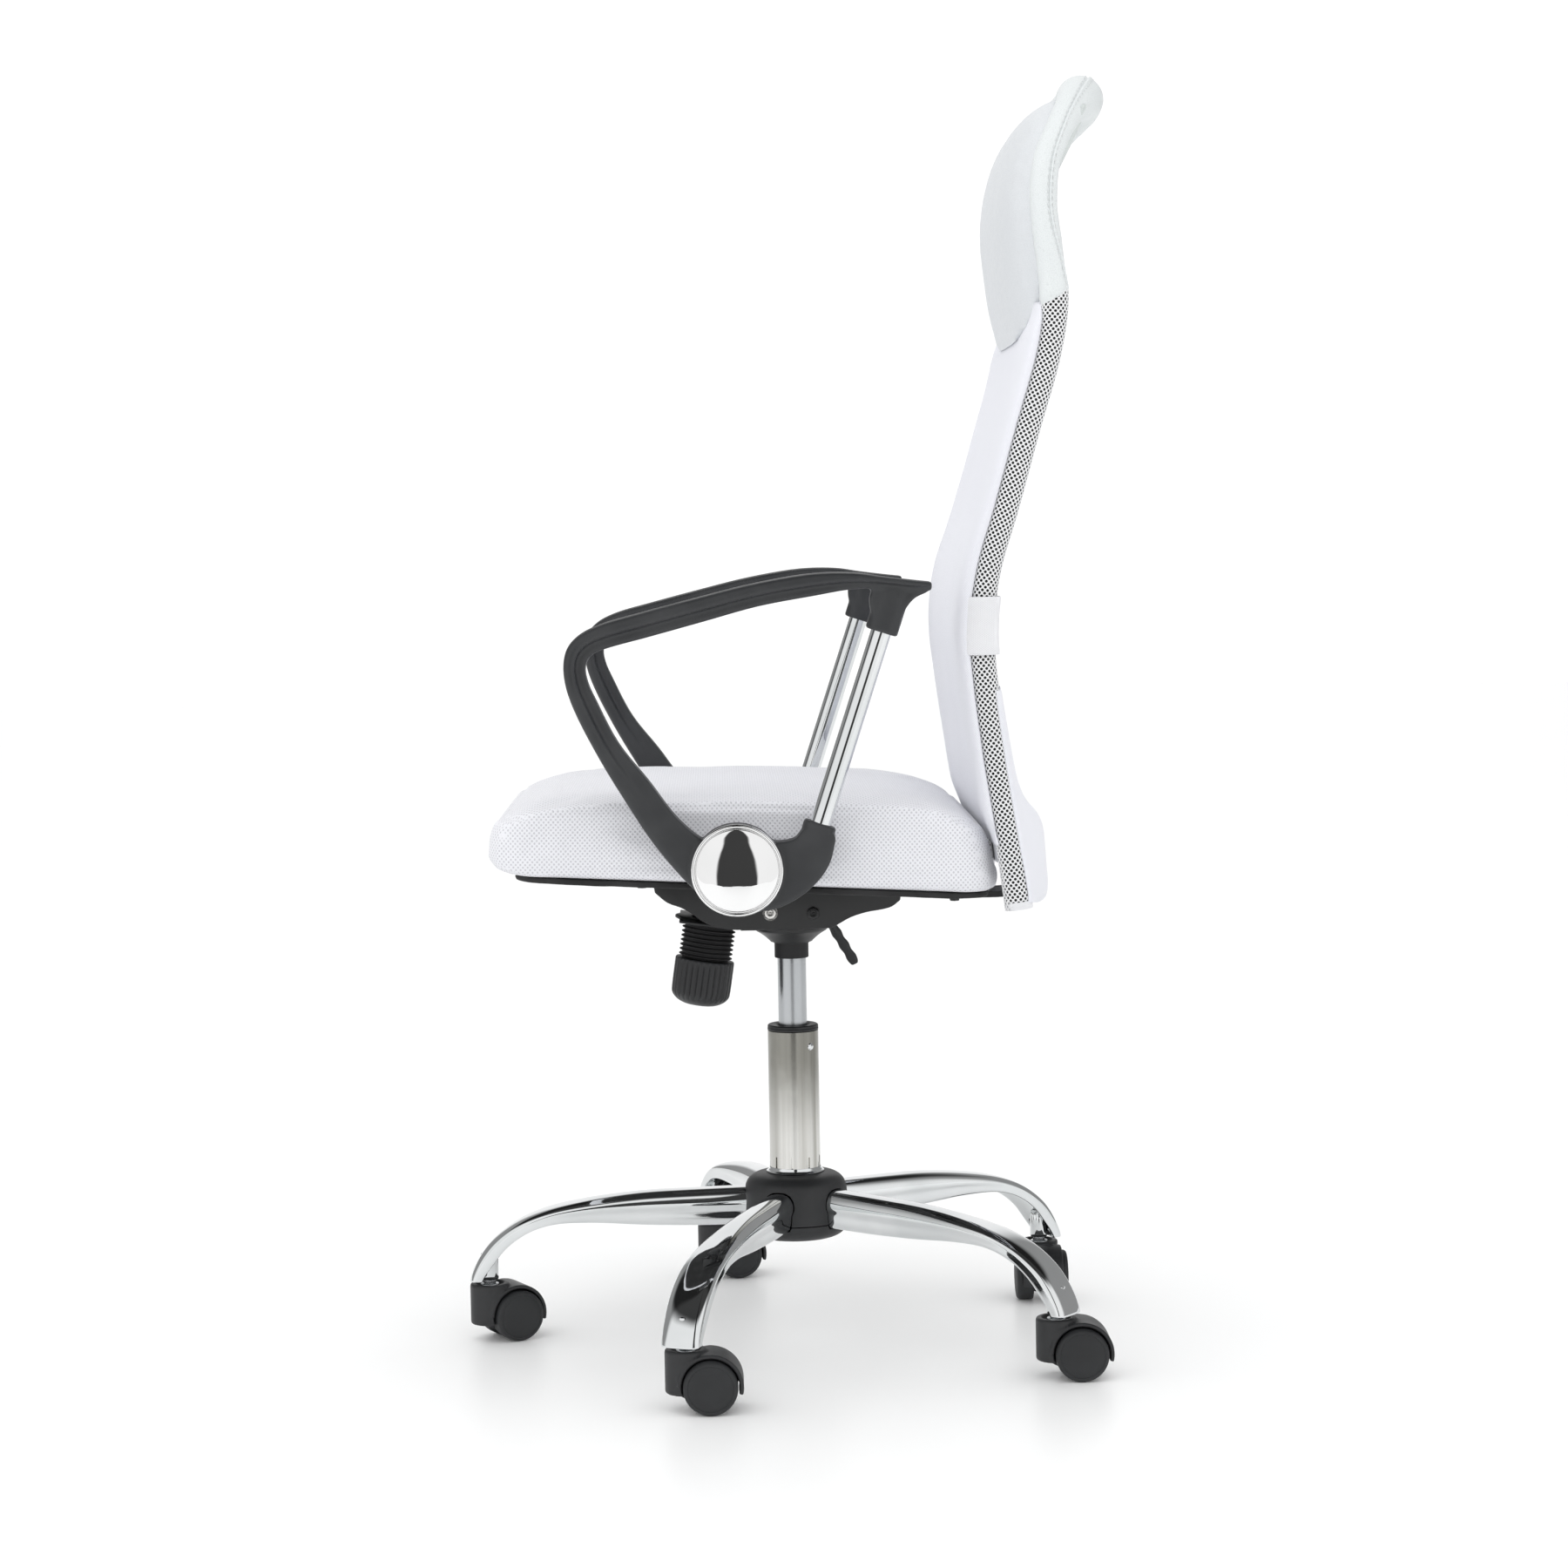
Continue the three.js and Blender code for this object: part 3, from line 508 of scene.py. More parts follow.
# The second colour of each cloth is the painted shade in its openings.
SEAT_CLOTH = cloth("seat_mesh", (0.812, 0.817, 0.855), (0.592, 0.592, 0.63), 4.4, 4.8, 0.5)
BACK_CLOTH = cloth("back_mesh", (0.812, 0.821, 0.869), (0.707, 0.716, 0.774), 1.9, 2.3, 0.12, fuzz=0.2)
SLEEVE_CLOTH = cloth("sleeve_mesh", (0.831, 0.836, 0.845), (0.745, 0.75, 0.764), 1.1, 1.1, 0.06, fuzz=0.15)
BAND_CLOTH = cloth("lumbar_band", (0.831, 0.836, 0.859), (0.726, 0.731, 0.754), 2.6, 1.7, 0.3)
LEATHER = hide("white_leather", (0.764, 0.797, 0.802), (0.726, 0.759, 0.764))
# Pad: a darker, bluer copy of the white leather, painted shade on the pad's front.
PAD_LEATHER_PAINTED_SHADE = hide("pad_leather_painted_shade", (0.731, 0.754, 0.778), (0.707, 0.731, 0.754))
# Rear panel: a darker, greener copy of the white leather, painted shade on the headrest's rear face.
REAR_LEATHER_PAINTED_SHADE = hide("rear_leather_painted_shade", (0.668, 0.711, 0.702), (0.611, 0.654, 0.645))
THREAD = grained("sewing_thread", (0.70, 0.72, 0.72), (0.80, 0.81, 0.81), 0.8, "noise", 0.05, 900)


# ------------------------------------------------------------------ base
# Top edge [r, z], bottom edge [r, z] and half width of a leg, from the hub outwards.
LEG_STATIONS = [
    (38, 152, 38, 114, 14.5), (56, 151.5, 56, 114, 15.5), (104, 150, 104, 113.5, 16),
    (155, 147.5, 150, 114.5, 16.5), (206, 141, 202, 117.5, 18), (245, 132.5, 240, 117, 19),
    (275, 120.3, 265, 109, 19.5), (300, 102, 286, 94, 19.5), (314, 84.5, 299, 78, 19),
    (322, 68, 308, 66, 18.5), (324, 60, 311, 60, 18.5),
]
# Half sections of the pressed leg, from the crown to the underside: share of half width and depth.
FIN_SECTION = [
    (0, 0), (0.42, 0.015), (0.74, 0.09), (0.93, 0.22), (0.99, 0.36), (0.97, 0.47), (0.885, 0.545),
    (0.84, 0.60), (0.82, 0.74), (0.78, 0.90), (0.68, 0.985), (0.40, 1.0), (0, 0.985),
]
CHANNEL_SECTION = [
    (0, 0), (0.48, 0.02), (0.80, 0.10), (0.95, 0.24), (1.0, 0.38), (1.0, 0.50), (1.0, 0.62),
    (1.0, 0.74), (1.0, 0.86), (0.99, 0.97), (0.94, 1.0), (0.86, 0.93), (0, 0.32),
]


def leg_angle(index):
    return math.radians(FIRST_LEG + 360 / LEG_COUNT * index)


def leg_rings(stations, grow=0.0, steps=4):
    """Sections along a leg: a closed fin by the hub that opens into a channel over the caster."""
    tops = through([(s[0], s[1]) for s in stations], steps)
    lows = through([(s[2], s[3]) for s in stations], steps)
    halves = through([(s[0], s[4]) for s in stations], steps)
    rings = []
    for (r_top, z_top), (r_low, z_low), (_, half) in zip(tops, lows, halves, strict=True):
        opened = eased((r_top - 190) / 75)
        section = [
            (mix(a[0], b[0], opened) * (half + grow), mix(a[1], b[1], opened))
            for a, b in zip(FIN_SECTION, CHANNEL_SECTION, strict=True)
        ]
        both = section + [(-s, t) for s, t in reversed(section[1:-1])]
        rings.append([(mix(r_top, r_low, t), s, mix(z_top + grow, z_low - grow, t)) for s, t in both])
    return rings


def add_legs():
    for i in range(LEG_COUNT):
        leg = subdivide(loft(f"leg_{i + 1}", leg_rings(LEG_STATIONS)))
        moved(leg, Matrix.Rotation(leg_angle(i), 4, "Z"))
        finished(leg, CHROME, "base", [f"base_leg_{i + 1}"], 60)
        boss_side = [(0, 88), (6, 88), (8.4, 86.5), (9, 84), (9, 62), (8.4, 61), (6, 61), (0, 61)]
        boss = lathe(f"leg_boss_{i + 1}", boss_side, 32)
        moved(boss, Matrix.Rotation(leg_angle(i), 4, "Z") @ at(STEM_CIRCLE, 0, 0))
        finished(boss, CHROME, "base")


def leg_cutters():
    """The legs' inner ends, slightly larger, to open the hub covers."""
    near = [(28, 152, 28, 114, 14.2), *LEG_STATIONS[:3]]
    out = []
    for i in range(LEG_COUNT):
        cutter = loft("cutter", leg_rings(near, 0.6, 3))
        out.append(moved(cutter, Matrix.Rotation(leg_angle(i), 4, "Z")))
    return out


def add_hub():
    dome = [
        (50.5, 118.6), (50.7, 130), (50.5, 146), (49.3, 153), (46.5, 158.5), (41, 162.8), (34, 164.8),
        (28.4, 165.5),
    ]
    dome_inside = [
        (27.2, 165.3), (26.4, 164.4), (26.4, 161.5), (40, 159.5), (45, 155), (47.5, 147), (47.5, 118.6)
    ]
    bowl = [(34, 101.6), (41, 103), (46.5, 106.2), (49.6, 111), (50.4, 117.6)]
    bowl_inside = [(47.5, 117.6), (46.5, 111.5), (42, 106.8), (33, 103.6), (0, 103.6)]
    upper = through(dome, 4) + dome_inside
    lower = [(0, 101.4), (26, 101.4), *through(bowl, 4), *bowl_inside]
    for word, profile in (("upper", upper), ("lower", lower)):
        shell = lathe(f"hub_shell_{word}", profile, 96, ring=word == "upper")
        carve(shell, leg_cutters())
        finished(bevel(shell, 0.5, 2, 45), BLACK, "base", [f"hub_cover_{word}"], 32)


def caster_matrix(index):
    angle = leg_angle(index)
    place = (STEM_CIRCLE * math.cos(angle), STEM_CIRCLE * math.sin(angle), 0)
    return at(*place) @ turn(CASTER_TURNS[index], "Z")


def hood_mesh():
    """Housing round the stem, a web between the wheels and a fender over them."""
    side_line = [
        (0, 17), (18.4, 17), (19.5, 18.4), (19.5, 55.4), (18.9, 56.8), (17.5, HOOD_TOP), (0, HOOD_TOP)
    ]
    housing = lathe("hood", side_line, 56)
    fender = []
    for r, order in ((30.2, 1), (26.0, -1)):
        arc = []
        for k in range(33):
            angle = math.radians(mix(178, -14, k / 32))
            arc.append((WHEEL_TRAIL + r * math.cos(angle), WHEEL_R + r * math.sin(angle)))
        fender += arc[::order]
    cover = slab("fender", fender, -20.8, 20.8)
    web_outline = [(-10, 20), (0, 12), (12, 8), (30, 9), (41, 18), (46, 34), (34, 50), (0, 53)]
    web = slab("web", through(web_outline, 4, True), -8.4, 8.4)
    hood = remesh(joined([housing, cover, web]), 1.0)
    spaces = []
    for side in (-1, 1):
        space = lathe("space", [(0, 0), (WHEEL_R + 1.3, 0), (WHEEL_R + 1.3, 30), (0, 30)], 72)
        place = at(side * (WHEEL_IN - 0.8), WHEEL_TRAIL, WHEEL_R)
        spaces.append(moved(space, place @ turn(90 * side, "Y")))
    dish = lathe("dish", [(0, 53.6), (12.5, 53.6), (15.2, 60), (0, 60)], 48)
    bore = lathe("bore", [(0, 21), (6, 21), (6, 60), (0, 60)], 24)
    carve(hood, [*spaces, dish, bore])
    remesh(hood, 0.95, 3, 0.45)
    return hood


def add_casters():
    hood = hood_mesh()
    tread = [(24.2, WHEEL_IN), (25, 10.6), (25, 14), (25, 21.5), (24.7, 23.6), (23.6, 25.4), (22.0, 26.2)]
    tread = [(min(r, WHEEL_R), x) for r, x in through(tread, 3)]
    face = [(21.2, 26.3), (20.7, 25.9), (20.2, 26.2), (12, 26.8), (0, 27.0)]
    wheel = lathe("wheel", [(0, WHEEL_IN), (4, WHEEL_IN), (22, WHEEL_IN), *tread, *face], 72)
    moved(wheel, ALONG_X)
    stem_profile = [
        (0, 21.5), (5, 21.5), (5.5, 22.2), (5.5, 53.8), (8.6, 53.8), (9.2, 54.4), (9.2, 56.2),
        (8.6, 56.8), (6.2, 57.0), (6.2, 59.6), (5.5, 59.8), (5.5, 78), (4.8, 79), (0, 79),
    ]
    stem = lathe("stem", stem_profile, 40)
    for i in range(LEG_COUNT):
        n = i + 1
        place = caster_matrix(i)
        body = f"caster_{n}"
        housing = copied(hood, f"caster_housing_{n}", place)
        finished(housing, BLACK, body, [f"caster_hood_{n}"], 50)
        spindle = copied(stem, f"caster_spindle_{n}", place)
        finished(spindle, STEEL, body, [f"caster_stem_{n}"], 50)
        axle = place @ at(0, WHEEL_TRAIL, WHEEL_R)
        for word, letter, half_turn in (("outer", "a", 0), ("inner", "b", 180)):
            tyre = copied(wheel, f"wheel_{n}_{word}", axle @ turn(half_turn, "Z"))
            node = f"caster_wheel_{n}_{letter}"
            finished(tyre, TYRE, f"wheel_{n}_{letter}", [node], 50)
    discard((hood, wheel, stem))


# ------------------------------------------------------------------ column and gas lift
COLUMN_BORE = 22.5
COLUMN_TOP = 306.2
BUSH_BORE = 14.4


def add_column():
    profile = [
        (0, 103), (COLUMN_R, 103), (COLUMN_R, COLUMN_TOP - 0.6), (COLUMN_R - 0.6, COLUMN_TOP),
        (COLUMN_BORE, COLUMN_TOP), (COLUMN_BORE, 106), (0, 106),
    ]
    tube = lathe("column", profile, 96)
    slits = []
    for k in range(9):
        slit = brick("slit", COLUMN_R - 2, COLUMN_R + 2, -0.95, 0.95, 160, 182)
        slits.append(moved(slit, turn(-8 + 40 * k, "Z")))
    carve(tube, slits)
    finished(tube, COLUMN_CHROME, "base", ["column_tube"], 35)
    foot = [
        (25.15, 165.6), (27.9, 165.7), (28.4, 166.4), (27.6, 167.1), (26.2, 168.0), (25.4, 170.5),
        (25.15, 171),
    ]
    flare = lathe("column_flare", through(foot, 3), 96, ring=True)
    finished(flare, CHROME, "base")
    bump = [(0, -1.2), (3.4, -0.6), (3.6, 0), (2.6, 0.9), (1.2, 1.2), (0, 1.25)]
    dimple = lathe("column_dimple", bump, 28)
    moved(dimple, turn(42, "Z") @ at(COLUMN_R, 0, 291) @ ALONG_X)
    finished(dimple, CHROME, "base")
    rim = [
        (BUSH_BORE, 268), (22.1, 268), (22.1, 306.4), (COLUMN_R, 306.4), (COLUMN_R + 0.1, 307.9),
        (COLUMN_R - 0.6, 308.3), (COLUMN_R - 0.6, 308.7), (COLUMN_R, 309.1), (COLUMN_R - 0.2, 310.7),
        (COLUMN_R - 1.3, 311.6), (20, 311.8), (17, 311.2), (15.4, 310.4), (BUSH_BORE, 309),
    ]
    bush = lathe("column_guide", rim, 96, ring=True)
    finished(bush, BLACK, "base", ["column_bush"], 32)
    cylinder = [
        (0, 190), (12.6, 190), (14, 191.4), (14, 371.0), (13.8, 371.02), (13.8, 371.7),
        (14, 371.72), (14, 402), (12.8, 404), (0, 404),
    ]
    finished(lathe("lift_cylinder", cylinder, 80), STEEL, "lift", ["gas_cylinder"], 32)
    collar = [
        (14.3, 377.6), (16.2, 377.6), (16.7, 378.2), (16.7, 391.8), (17.6, 392.2), (17.8, 393.0),
        (14.3, 393.0),
    ]
    finished(lathe("lift_collar", collar, 80, ring=True), RUBBER, "lift", ["cylinder_collar"], 32)


# ------------------------------------------------------------------ tilt mechanism
LEANED = at(0, KNOB_TOP[0], KNOB_TOP[1]) @ turn(-KNOB_LEAN, "X")


def seat_under(y):
    return BOARD_TOP - math.tan(math.radians(SEAT_SLOPE)) * y - BOARD_THICK - STRAP_THICK - 0.8


def bolt(name, radius, thick, socket, matrix, material, body, hexagon=False):
    """A bolt head with a washer face and a socket, its axis along the matrix's Z."""
    head = [
        (0, -2), (radius, -2), (radius, thick - 0.8), (radius - 0.35, thick - 0.25),
        (radius - 0.9, thick), (socket, thick), (socket - 0.2, thick - 1.4),
        (socket * 0.45, thick - 1.5), (socket * 0.35, thick - 0.9), (0, thick - 0.8),
    ]

    def shape(angle, r, z):
        if hexagon and r > socket * 1.2:
            wedge = (angle % (math.pi / 3)) - math.pi / 6
            return r * min(1.0, math.cos(math.pi / 6) / math.cos(wedge) * 1.08)
        return r

    obj = lathe(name, head, 48, shape)
    moved(obj, matrix)
    return finished(obj, material, body, sharp=30)


DECK_THICK = 3


def add_mechanism():
    flank = through([
        (14.4, 393.4), (20.2, 393.4), (21.4, 394.6), (24, 397), (28, 400.3), (31.5, 402.6), (35.2, 405),
        (36.4, 407.4), (36.4, 410),
    ], 3)
    cone = lathe("core_cone", [*flank, (14.4, 410)], 96, ring=True)
    finished(cone, POWDER, "lift", sharp=30)
    body = brick("core_body", -44, 44, -50, 12, 409.2, 436)
    tongue = brick("tongue", -20, 20, -92, -41, 444, 451)
    neck = brick("neck", -20, 20, -60, -40, 430, 451)
    slot = brick("slot", -6, 6, -93, -64, 440, 455)
    carve(body, [tongue, neck], "UNION")
    carve(body, [slot])
    finished(bevel(body, 2.2, 3), POWDER, "lift", ["mechanism_core"], 32)
    lip = brick("core_lip", -38, 38, -42, 36, 409.4, 412.4)
    finished(bevel(lip, 1.2, 2), POWDER, "lift", sharp=32)

    lower = through([
        (-132, 448.6), (-120, 438.5), (-107, 433.5), (-96, 427), (-86, 419.5), (-74, 414), (-60, 411.3),
        (-40, 411), (30, 411), (39, 411.6), (46, 415.4), (57, 421.2), (72, 425.8), (88, 428.4),
        (97, 431), (105, 437),
    ], 3)
    outline = [*lower, (107, seat_under(107)), (-135, seat_under(-135))]
    parts = []
    for side in (-1, 1):
        x0, x1 = (CHEEK_IN, CHEEK_OUT) if side > 0 else (-CHEEK_OUT, -CHEEK_IN)
        parts.append(slab("cheek", outline, x0, x1))
    front, rear = (-150, seat_under(-150)), (110, seat_under(110))
    deck = [front, (front[0], front[1] - DECK_THICK), (rear[0], rear[1] - DECK_THICK), rear]
    parts.append(slab("deck", deck, -78, 78))
    housing = joined(parts)
    bevel(housing, 0.9, 3)
    flange = [(19, 0.5), (33, 0.5), (34.5, 1.2), (34.5, 3.2), (33, 3.9), (19, 3.9)]
    cup = lathe("cup", flange, 64, ring=True)
    moved(cup, LEANED @ at(0, 0, BELLOWS_TOP))
    web = bevel(brick("web", -50, 50, -30, 17, BELLOWS_TOP + 0.6, BELLOWS_TOP + 3.2), 0.8)
    moved(web, LEANED)
    bore = lathe("bore", [(0, 20), (19, 20), (19, 60), (0, 60)], 48)
    carve(web, [moved(bore, LEANED)])
    housing = joined([housing, cup, web])
    finished(housing, POWDER, "tilt", ["tilt_plate"], 32)
    for k, y in enumerate((86, 94, 102)):
        rib = brick(f"deck_rib_{k + 1}", -62, 62, y, y + 3.2, seat_under(y) - 5.4, seat_under(y) - 2.6)
        finished(bevel(rib, 0.7), POWDER, "tilt", sharp=32)

    for side, word in ((1, "left"), (-1, "right")):
        pivot = at(side * CHEEK_OUT, *PIVOT) @ turn(90 * side, "Y")
        plate = [(5.2, 0.1), (7.4, 0.1), (7.6, 0.5), (7.4, 1.0), (5.2, 1.0)]
        washer = lathe(f"pivot_washer_{word}", plate, 48, ring=True)
        finished(moved(washer, pivot), BOLT, "lift", sharp=30)
        bolt(f"pivot_bolt_{word}", 5.6, 3.0, 2.7, pivot, BOLT, "lift")
        stop = at(side * CHEEK_OUT, *STOP) @ turn(90 * side, "Y")
        bolt(f"stop_bolt_{word}", 6.0, 2.9, 2.9, stop, POWDER, "tilt", True)
    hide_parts("pivot_pin")
    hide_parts("stop_pin")

    down = turn(180, "X")
    heads = [(-60, -144, 463, 8.5), (60, -144, 463, 8.5), (-15, 160, 436, 4.4), (15, 160, 436, 4.4)]
    for k, (x, y, top, tall) in enumerate(heads):
        place = at(x, y, top) @ down
        bolt(f"deck_bolt_{k + 1}", 5.0, tall, 2.4, place, POWDER, "tilt", True)

    ribs = 30

    def fluted(angle, r, z):
        fade = eased((z + 43) / 9) * eased((-1.2 - z) / 3 + 0.2)
        groove = abs(math.cos(angle * ribs / 2)) ** 7
        return r * (1 - 0.045 * groove * fade)

    grip = [(0, -46.6), (9, -46.3), (16, -45.2), (22, -42.6), (26.4, -38.9), (28.4, -35.4), (28.9, -30)]
    sides = [(29, -24), (29, -16), (29, -8), (29, -3), (28.9, -1.4), (28.3, -0.6), (25, -0.5), (4.8, -0.5)]
    knob = lathe("tension_grip", through(grip, 3) + sides + [(4.8, -22), (0, -22)], 240, fluted)
    finished(moved(knob, LEANED), BLACK, "knob", ["tension_knob"], 42)

    folds = 8
    profile = [(19.5, 0.4), (23.4, 0.4)]
    pitch = (BELLOWS_TOP - 0.8) / folds
    for k in range(folds):
        base = 0.4 + pitch * k
        crest = [(23.4, 0.12), (25.0, 0.34), (26.2, 0.46), (26.2, 0.58), (25.0, 0.7), (23.4, 0.92)]
        profile += [(r, base + pitch * share) for r, share in crest]
    profile += [(23.4, BELLOWS_TOP), (19.5, BELLOWS_TOP)]
    sleeve = lathe("tension_sleeve", profile, 80, ring=True)
    finished(moved(sleeve, LEANED), RUBBER, "tilt", ["tension_bellows"], 60)


LEVER = (38, 437)


def add_lever():
    """Bent rod with a flat, rippled grip."""
    y, z = LEVER
    path = through([
        (-34, y, z), (-50, y, z), (-64, y, z), (-86, y + 1, z - 6), (-103, y + 3, z - 22),
        (-112, y + 6, z - 42), (-116, y + 13, z - 54),
    ], 6)
    rings = []
    for i, point in enumerate(path):
        before, after = path[max(0, i - 1)], path[min(len(path) - 1, i + 1)]
        along = (after - before).normalized()
        u = Vector((0, 1, 0))
        u = (u - along * along.y).normalized()
        v = along.cross(u)
        rings.append([point + u * a * 4 + v * b * 4 for a, b in superellipse(20, 1, 1, 2)])
    shaft = loft("lever_shaft", rings)
    start, end = Vector((-111, y + 3, z - 37)), Vector((-124, y + 29, z - 82))
    along = (end - start).normalized()
    u = (Vector((0, 1, 0)) - along * along.y).normalized()
    v = along.cross(u)
    rings = []
    for k in range(25):
        t = k / 24
        wave = 0.55 * math.cos(2 * math.pi * 3.5 * t) * eased(t * 3)
        half = mix(3.8, 4.8, eased(t * 4)) * (1.0 if t < 0.97 else 0.86)
        centre = start.lerp(end, t)
        rings.append([centre + u * a + v * b for a, b in superellipse(24, half + wave, 3.4, 4)])
    paddle = loft("paddle", rings)
    lever = joined([shaft, paddle])
    finished(remesh(lever, 0.8, 2, 0.4), BLACK, "lever", ["lift_lever"], 50)


# ------------------------------------------------------------------ seat
SEAT = at(0, 0, BOARD_TOP) @ turn(-SEAT_SLOPE, "X")
CUSHION_SIDE = [
    (-262, 0.4), (-276, 4), (-285, 16), (-287, 32), (-281, 47), (-262, 58), (-235, 66), (-190, 72),
    (-110, 76), (-20, 80), (60, 80.5), (120, 78), (152, 72), (173, 60), (182, 42), (187, 20), (187, 8),
    (184, 0.4),
]
CUSHION_HALF = 228


def rounded_plan(half, y0, y1, corner, steps=8):
    out = []
    right, low, high = half - corner, y0 + corner, y1 - corner
    for cx, cy, first in ((right, low, -90), (right, high, 0), (-right, high, 90), (-right, low, 180)):
        for k in range(steps + 1):
            angle = math.radians(first + 90 * k / steps)
            out.append((cx + corner * math.cos(angle), cy + corner * math.sin(angle)))
    return out


def along_edge(points, step):
    """Points spaced evenly round a closed plan outline."""
    out = []
    for i, (x0, y0) in enumerate(points):
        x1, y1 = points[(i + 1) % len(points)]
        parts = max(1, round(math.hypot(x1 - x0, y1 - y0) / step))
        out += [(mix(x0, x1, k / parts), mix(y0, y1, k / parts)) for k in range(parts)]
    return out


def add_board():
    """Felt-covered board with a soft, slightly uneven edge."""
    plan = along_edge(rounded_plan(221.5, -259, 181, 45), 7)
    rings = []
    for inset, z in ((6, -BOARD_THICK), (1.2, -5.4), (0, -3.6), (0.4, -1.0), (3, -0.1)):
        ring = []
        for x, y in plan:
            away = Vector((x, y + 39, 0)).normalized()
            wave = 0.7 * ripple((x, y, 0), 24, 3.0)
            ring.append((x - away.x * inset, y - away.y * inset, z + wave))
        rings.append(ring)
    board = loft("seat_base", rings)
    finished(moved(board, SEAT), FELT, "tilt", ["seat_board"], 50)


def round_over(x, half, radius):
    """How far a rounded edge of the given radius has dropped at x."""
    over = min(radius, max(0.0, abs(x) - (half - radius)))
    return radius - math.sqrt(radius**2 - over**2)


def cushion_shape():
    """The cushion before it is filled: the side outline carried across, with rounded edges."""
    profile = through(CUSHION_SIDE, 5)
    middle = -50
    rings = []
    for k in range(57):
        x = CUSHION_HALF * math.sin(math.pi / 2 * (2 * k / 56 - 1))
        top_drop = round_over(x, CUSHION_HALF, 8)
        low_rise = round_over(x, CUSHION_HALF, 6)
        reach = 1 - 0.8 * round_over(x, CUSHION_HALF, 46) / 235
        ring = []
        for y, z in profile:
            stretch = 2 * eased((y - 120) / 60) * (1 - (x / CUSHION_HALF) ** 4)
            level = z + 1.0 * eased((z - 20) / 40) - top_drop * eased((z - 22) / 22) + low_rise * (
                1 - eased(z / 12)
            )
            ring.append((x, middle + (y + stretch - middle) * reach, level))
        rings.append(ring)
    return loft("seat_pad", rings)


def fill(obj, voxel, pressure, cap, hold):
    """Puff a closed cushion up as cloth. hold(point) is from 0, free, to 1, fixed."""
    remesh(obj, voxel)
    rest = np.array([v.co for v in obj.data.vertices], float)
    group = obj.vertex_groups.new(name="held")
    for vertex in obj.data.vertices:
        weight = hold(vertex.co / MM)
        if weight > 0:
            group.add([vertex.index], weight, "REPLACE")
    modifier = obj.modifiers.new("Cloth", "CLOTH")
    settings = modifier.settings
    settings.quality = 5
    settings.mass = 0.2
    settings.use_pressure = True
    settings.uniform_pressure_force = pressure
    settings.tension_stiffness = 18
    settings.compression_stiffness = 14
    settings.shear_stiffness = 8
    settings.bending_stiffness = 0.6
    settings.effector_weights.gravity = 0
    settings.vertex_group_mass = "held"
    modifier.collision_settings.use_collision = False
    modifier.point_cache.frame_start = 1
    modifier.point_cache.frame_end = 20
    scene = bpy.context.scene
    for number in range(1, 21):
        scene.frame_set(number)
    bake(obj)
    scene.frame_set(1)
    now = np.array([v.co for v in obj.data.vertices], float)
    move = now - rest
    size = np.linalg.norm(move, axis=1, keepdims=True)
    limit = cap * MM
    soft = limit * np.tanh(size / limit) / np.maximum(size, 1e-9)
    placed = rest + move * soft
    obj.data.vertices.foreach_set("co", placed.ravel())
    obj.data.update()
    obj.vertex_groups.clear()
    return subdivide(obj)


def add_cushion():
    pad = cushion_shape()
    fill(pad, 6, 4.0, 3.5, lambda p: 1.0 if p.z < 4 else eased((24 - p.z) / 20))

    def sewn(point, normal):
        """A seam where the top joins the side panel."""
        x, y, z = point
        seam = 66 + 6 * eased((y + 200) / 160) - 14 * eased((-150 - y) / 130) - 10 * eased((y - 110) / 70)
        side = eased((abs(x) - 190) / 25) if abs(y + 50) < 205 else 1.0
        depth = 1.6 * math.exp(-(((z - seam) / 2.0) ** 2)) * side
        wave = 0.35 * ripple(point, 38) + 0.18 * ripple(point, 13, 5.0)
        if z < 3:
            return (0, 0, 0)
        return normal * (wave - depth)

    push(pad, sewn)
    floor_level = 0.35 * MM
    for vertex in pad.data.vertices:
        vertex.co.z = max(vertex.co.z, floor_level)
    moved(pad, SEAT)
    finished(pad, SEAT_CLOTH, "tilt", ["seat_cushion"], 180)


# ------------------------------------------------------------------ back
UPRIGHT = [
    (206.5, 446), (199, 503), (188.5, 572), (179, 646), (175.5, 700), (182, 755), (199.5, 813),
    (219.5, 883), (240, 953), (247, 1000), (243.5, 1040), (238.5, 1090),
]
SHOULDER = [(212, 242, 1124), (198, 254, 1153), (170, 267, 1176), (125, 279, 1190), (62, 286, 1196)]
RAIL_MIDDLE = (0, 289, 1198)
COVER_LOW = 1002


def frame_path(steps):
    half = [(FRAME_X, y, z) for y, z in UPRIGHT] + SHOULDER
    other = [(-x, y, z) for x, y, z in reversed(half)]
    return through([*half, RAIL_MIDDLE, *other], steps)


FRAME_PATH = frame_path(12)
UPRIGHT_LINE = [(p.y, p.z) for p in FRAME_PATH if p.x > FRAME_X - 0.5 and p.z < 1092]


def upright_y(z):
    ys, zs = zip(*UPRIGHT_LINE, strict=True)
    return float(np.interp(z, zs, ys))


def directions(path, i):
    """Along the path, towards the rear and towards the outside of the frame."""
    before, after = path[max(0, i - 1)], path[min(len(path) - 1, i + 1)]
    along = (after - before).normalized()
    rear = (Vector((0, 1, 0)) - along * along.y).normalized()
    return along, rear, -along.cross(rear)


def even(path, step):
    """The path again with points a fixed step apart."""
    lengths = [0.0]
    for a, b in zip(path, path[1:], strict=False):
        lengths.append(lengths[-1] + (b - a).length)
    count = max(2, round(lengths[-1] / step) + 1)
    marks = np.linspace(0, lengths[-1], count)
    parts = [np.interp(marks, lengths, [p[k] for p in path]) for k in range(3)]
    return [Vector(p) for p in zip(*parts, strict=True)]


